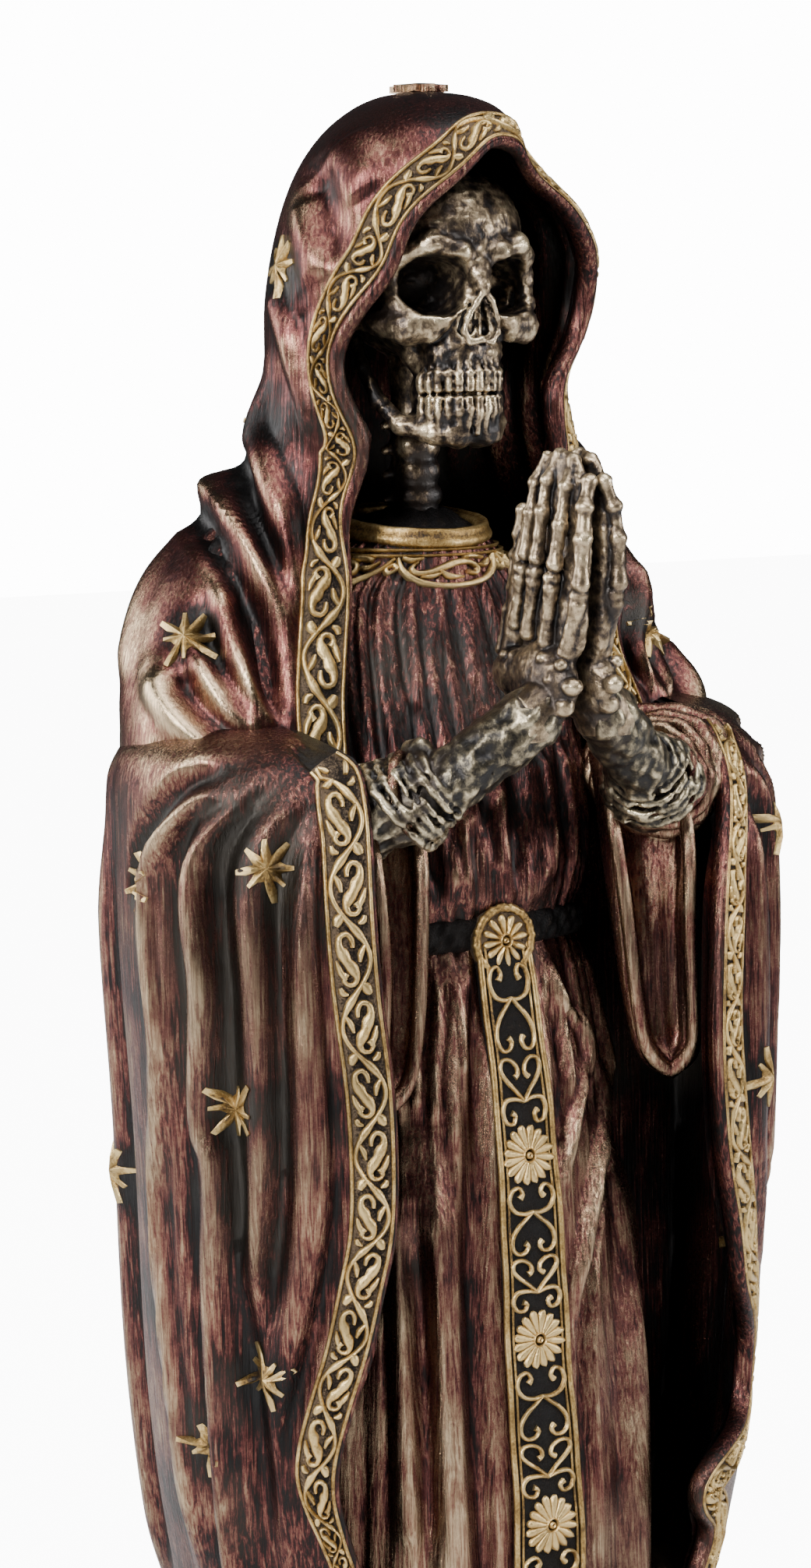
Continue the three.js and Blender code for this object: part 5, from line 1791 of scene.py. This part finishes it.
bronzeLook = {
    **boneLook, "patch": 0.8,
    "colours": [(0.26, (0.004, 0.003, 0.003)), (0.43, (0.018, 0.015, 0.011)), (0.53, (0.065, 0.055, 0.038)),
                (0.66, (0.18, 0.15, 0.1)), (0.88, (0.45, 0.38, 0.25))],
}
darkLook = {
    "streakScale": (500, 500, 300), "patchScale": 150, "grainScale": 2400, "tintScale": 70,
    "streak": 0.6, "patch": 0.5, "grain": 0.9,
    "colours": [(0.2, (0.002, 0.002, 0.002)), (0.56, (0.005, 0.004, 0.004)), (0.72, (0.02, 0.015, 0.012)),
                (0.92, (0.12, 0.085, 0.055))],
    "tint": (0.012, 0.008, 0.006), "tintShare": 0.3,
    "rough": (0.5, 0.4), "metal": (0.0, 0.6), "bump": 0.6, "bumpStreak": 0.3, "bumpGrain": 1.0, "gloss": 0.16,
}


burgundy = wornAndShadedPaint("burgundyPaint", burgundyLook)
satin = wornAndShadedPaint("burgundySatin", hoodLook)
goldPaint = wornAndShadedPaint("goldPaint", goldLook)
bone = wornAndShadedPaint("rubbedShadedBone", boneLook)
handBone = wornAndShadedPaint("rubbedShadedHandBone", handLook)
bronze = wornAndShadedPaint("rubbedShadedBronze", bronzeLook)
dark = wornAndShadedPaint("darkGround", darkLook)
# How many rounds of averaging a rubbed ridge is measured against, and how high a full one stands. On the
# cloth, sleeves, bone and hands, the wide passes also darken whole hollows and the gaps between fingers as
# painted shade, and lighten the tops as painted highlight.
clothWearAndShade = [(5, 0.7), (30, 4.2), (100, 14.0)]
sleeveWearAndShade = [(8, 2.2), (45, 8)]
boneWearAndShade = [(3, 0.1), (14, 0.45), (60, 2.6)]
handWearAndShade = [(3, 0.12), (12, 0.3), (40, 0.9)]
groundWear = [(4, 0.5)]
goldWear = [(2, 0.25)]
hood, mantle = makeHood(), makeMantle()
linings = makeLinings()
for piece in [hood, mantle, makeRobe(), makeSleeve(-1, "nearSleeve"), makeSleeve(1, "farSleeve"),
              makeGathers()]:
    points = readPoints(piece)
    paler = 0.12 * (1 - smoothStep(112, 142, points[:, 2])) if piece.name == "robe" else 0.0
    if "leeve" in piece.name:
        # The sleeves are made paler all over as painted light, since they sit in the mantle's shade.
        markWearAndPaintedLight(piece, sleeveWearAndShade, 0.1)
    else:
        markWearAndPaintedLight(piece, clothWearAndShade, spotsAt(points, clothSpots) + paler)
    finishPiece(piece, satin if piece.name == "hood" else burgundy)
for piece in linings:
    # The linings are darkened a little as painted shade inside the hood and mantle.
    markWearAndPaintedLight(piece, clothWearAndShade, -0.04)
    finishPiece(piece, burgundy)
print("cloth made")
lip, ground, gold = makeHems()
markWearAndPaintedLight(lip, [(4, 1.6)], -0.08)
finishPiece(lip, burgundy)
markWearAndPaintedLight(ground, [(4, 0.3)])
finishPiece(ground, dark)
markWearAndPaintedLight(gold, goldWear, 0.05)
finishPiece(gold, goldPaint)
stars = makeStars({"hood": hood, "mantle": mantle})
markWearAndPaintedLight(stars, [(1, 0.6)], 0.1)
finishPiece(stars, goldPaint)
print("hems and stars made")
skullPiece = makeSkull()
nearHand, nearForearm = makeHand(), makeForearm()
for piece, paint in ((skullPiece, bone), (nearHand, handBone), (mirroredPiece(nearHand, "farHand"), handBone),
                     (nearForearm, bronze), (mirroredPiece(nearForearm, "farForearm"), bronze)):
    # Painted shade and painted highlight by place, then the forearms are shifted darker and the skull and
    # hands lighter.
    shade = spotsAt(readPoints(piece), bonePaintedLight)
    shade += -0.05 if "orearm" in piece.name else 0.04
    markWearAndPaintedLight(piece, handWearAndShade if "Hand" in piece.name else boneWearAndShade, shade)
    thinPiece(piece, 0.5 if "orearm" in piece.name else 0.58)
    finishPiece(piece, paint)
print("bones made")
sashGround, sashGold = makeSash()
buckleGround, buckleGold = makeBuckle()
# The collar mound takes the near-black ground paint as painted shade in the neck hole; the sash, belt and
# buckle grounds are black in their own colour.
for piece in [sashGround, makeBelt(), buckleGround, makeMound()]:
    markWearAndPaintedLight(piece, groundWear, -0.06)
    finishPiece(piece, dark)
for piece in [sashGold, buckleGold, makeCollar(), makeScallops()]:
    markWearAndPaintedLight(piece, goldWear, 0.05)
    finishPiece(piece, goldPaint)
for piece in [makeCrownStar(), *makeFoot()]:
    markWearAndPaintedLight(piece, [(6, 0.5)], -0.22 if piece.name == "crownStar" else 0)
    finishPiece(piece, burgundy)
print("trim made")


# The view of the photograph: the camera's place, its turn and its lens.
view = {"turn": -33, "lift": 8, "distance": 650, "aim": (0, 0, 145), "roll": -1.0,
        "focal": 4399.9, "centreX": 570, "centreY": 1107, "width": 1041, "height": 2013}


def placeCamera():
    right, up, back = viewAxes(view)
    deselectAll()
    bpy.ops.object.camera_add()
    camera = bpy.context.object
    camera.name = "camera"
    place = Matrix.Identity(4)
    for k in range(3):
        place[k][0], place[k][1], place[k][2] = right[k], up[k], back[k]
        place[k][3] = (view["aim"][k] + back[k] * view["distance"]) * mm
    camera.matrix_world = place
    camera.data.sensor_fit = "AUTO"
    camera.data.sensor_width = 36
    camera.data.lens = view["focal"] / view["height"] * 36
    camera.data.shift_x = -(view["centreX"] - view["width"] / 2) / view["height"]
    camera.data.shift_y = (view["centreY"] - view["height"] / 2) / view["height"]
    camera.data.clip_start = 0.05
    bpy.context.scene.camera = camera


def placeLight(name, at, aim, size, power, colour=(1, 1, 1)):
    deselectAll()
    bpy.ops.object.light_add(type="AREA", location=[c * mm for c in at])
    light = bpy.context.object
    light.name = name
    light.data.size = size * mm
    light.data.energy = power
    light.data.color = colour
    away = np.array(at, float) - np.array(aim, float)
    light.rotation_euler = Vector(away).to_track_quat("Z", "Y").to_euler()


def makeStage():
    deselectAll()
    bpy.ops.mesh.primitive_plane_add(size=6)
    floor = bpy.context.object
    floor.name = "floor"
    paint = bpy.data.materials.new("paleFloor")
    paint.use_nodes = True
    shader = paint.node_tree.nodes["Principled BSDF"]
    shader.inputs["Base Color"].default_value = (0.9, 0.9, 0.9, 1)
    shader.inputs["Roughness"].default_value = 0.8
    tree = paint.node_tree
    glow = addNode(tree, "ShaderNodeEmission", Color=(1, 1, 1, 1), Strength=14.0)
    seen = addNode(tree, "ShaderNodeLightPath").outputs["Is Camera Ray"]
    share = addNode(tree, "ShaderNodeMath", {"operation": "MULTIPLY"}, i0=seen, i1=0.8).outputs[0]
    blend = addNode(tree, "ShaderNodeMixShader", i0=share, i1=shader.outputs[0], i2=glow.outputs[0])
    tree.links.new(blend.outputs[0], tree.nodes["Material Output"].inputs["Surface"])
    floor.data.materials.append(paint)
    world = bpy.data.worlds.new("studio")
    bpy.context.scene.world = world
    world.use_nodes = True
    nodes, links = world.node_tree.nodes, world.node_tree.links
    soft = nodes["Background"]
    soft.inputs["Color"].default_value = (0.9, 0.95, 1.0, 1)
    soft.inputs["Strength"].default_value = 0.06
    bright = nodes.new("ShaderNodeBackground")
    bright.inputs["Color"].default_value = (1, 1, 1, 1)
    bright.inputs["Strength"].default_value = 14.0
    mix, path = nodes.new("ShaderNodeMixShader"), nodes.new("ShaderNodeLightPath")
    links.new(path.outputs["Is Camera Ray"], mix.inputs[0])
    links.new(soft.outputs[0], mix.inputs[1])
    links.new(bright.outputs[0], mix.inputs[2])
    links.new(mix.outputs[0], nodes["World Output"].inputs["Surface"])
    placeLight("leftSoft", (-620, -380, 480), (0, 0, 170), 200, 9.5)
    placeLight("leftRim", (-560, 420, 330), (0, 0, 150), 420, 6.5)
    placeLight("topSoft", (60, -260, 780), (0, 0, 180), 500, 6.5)
    placeLight("rightSoft", (520, -420, 260), (0, 0, 140), 160, 3)
    print("stage ready")


placeCamera()
makeStage()
deselectAll()
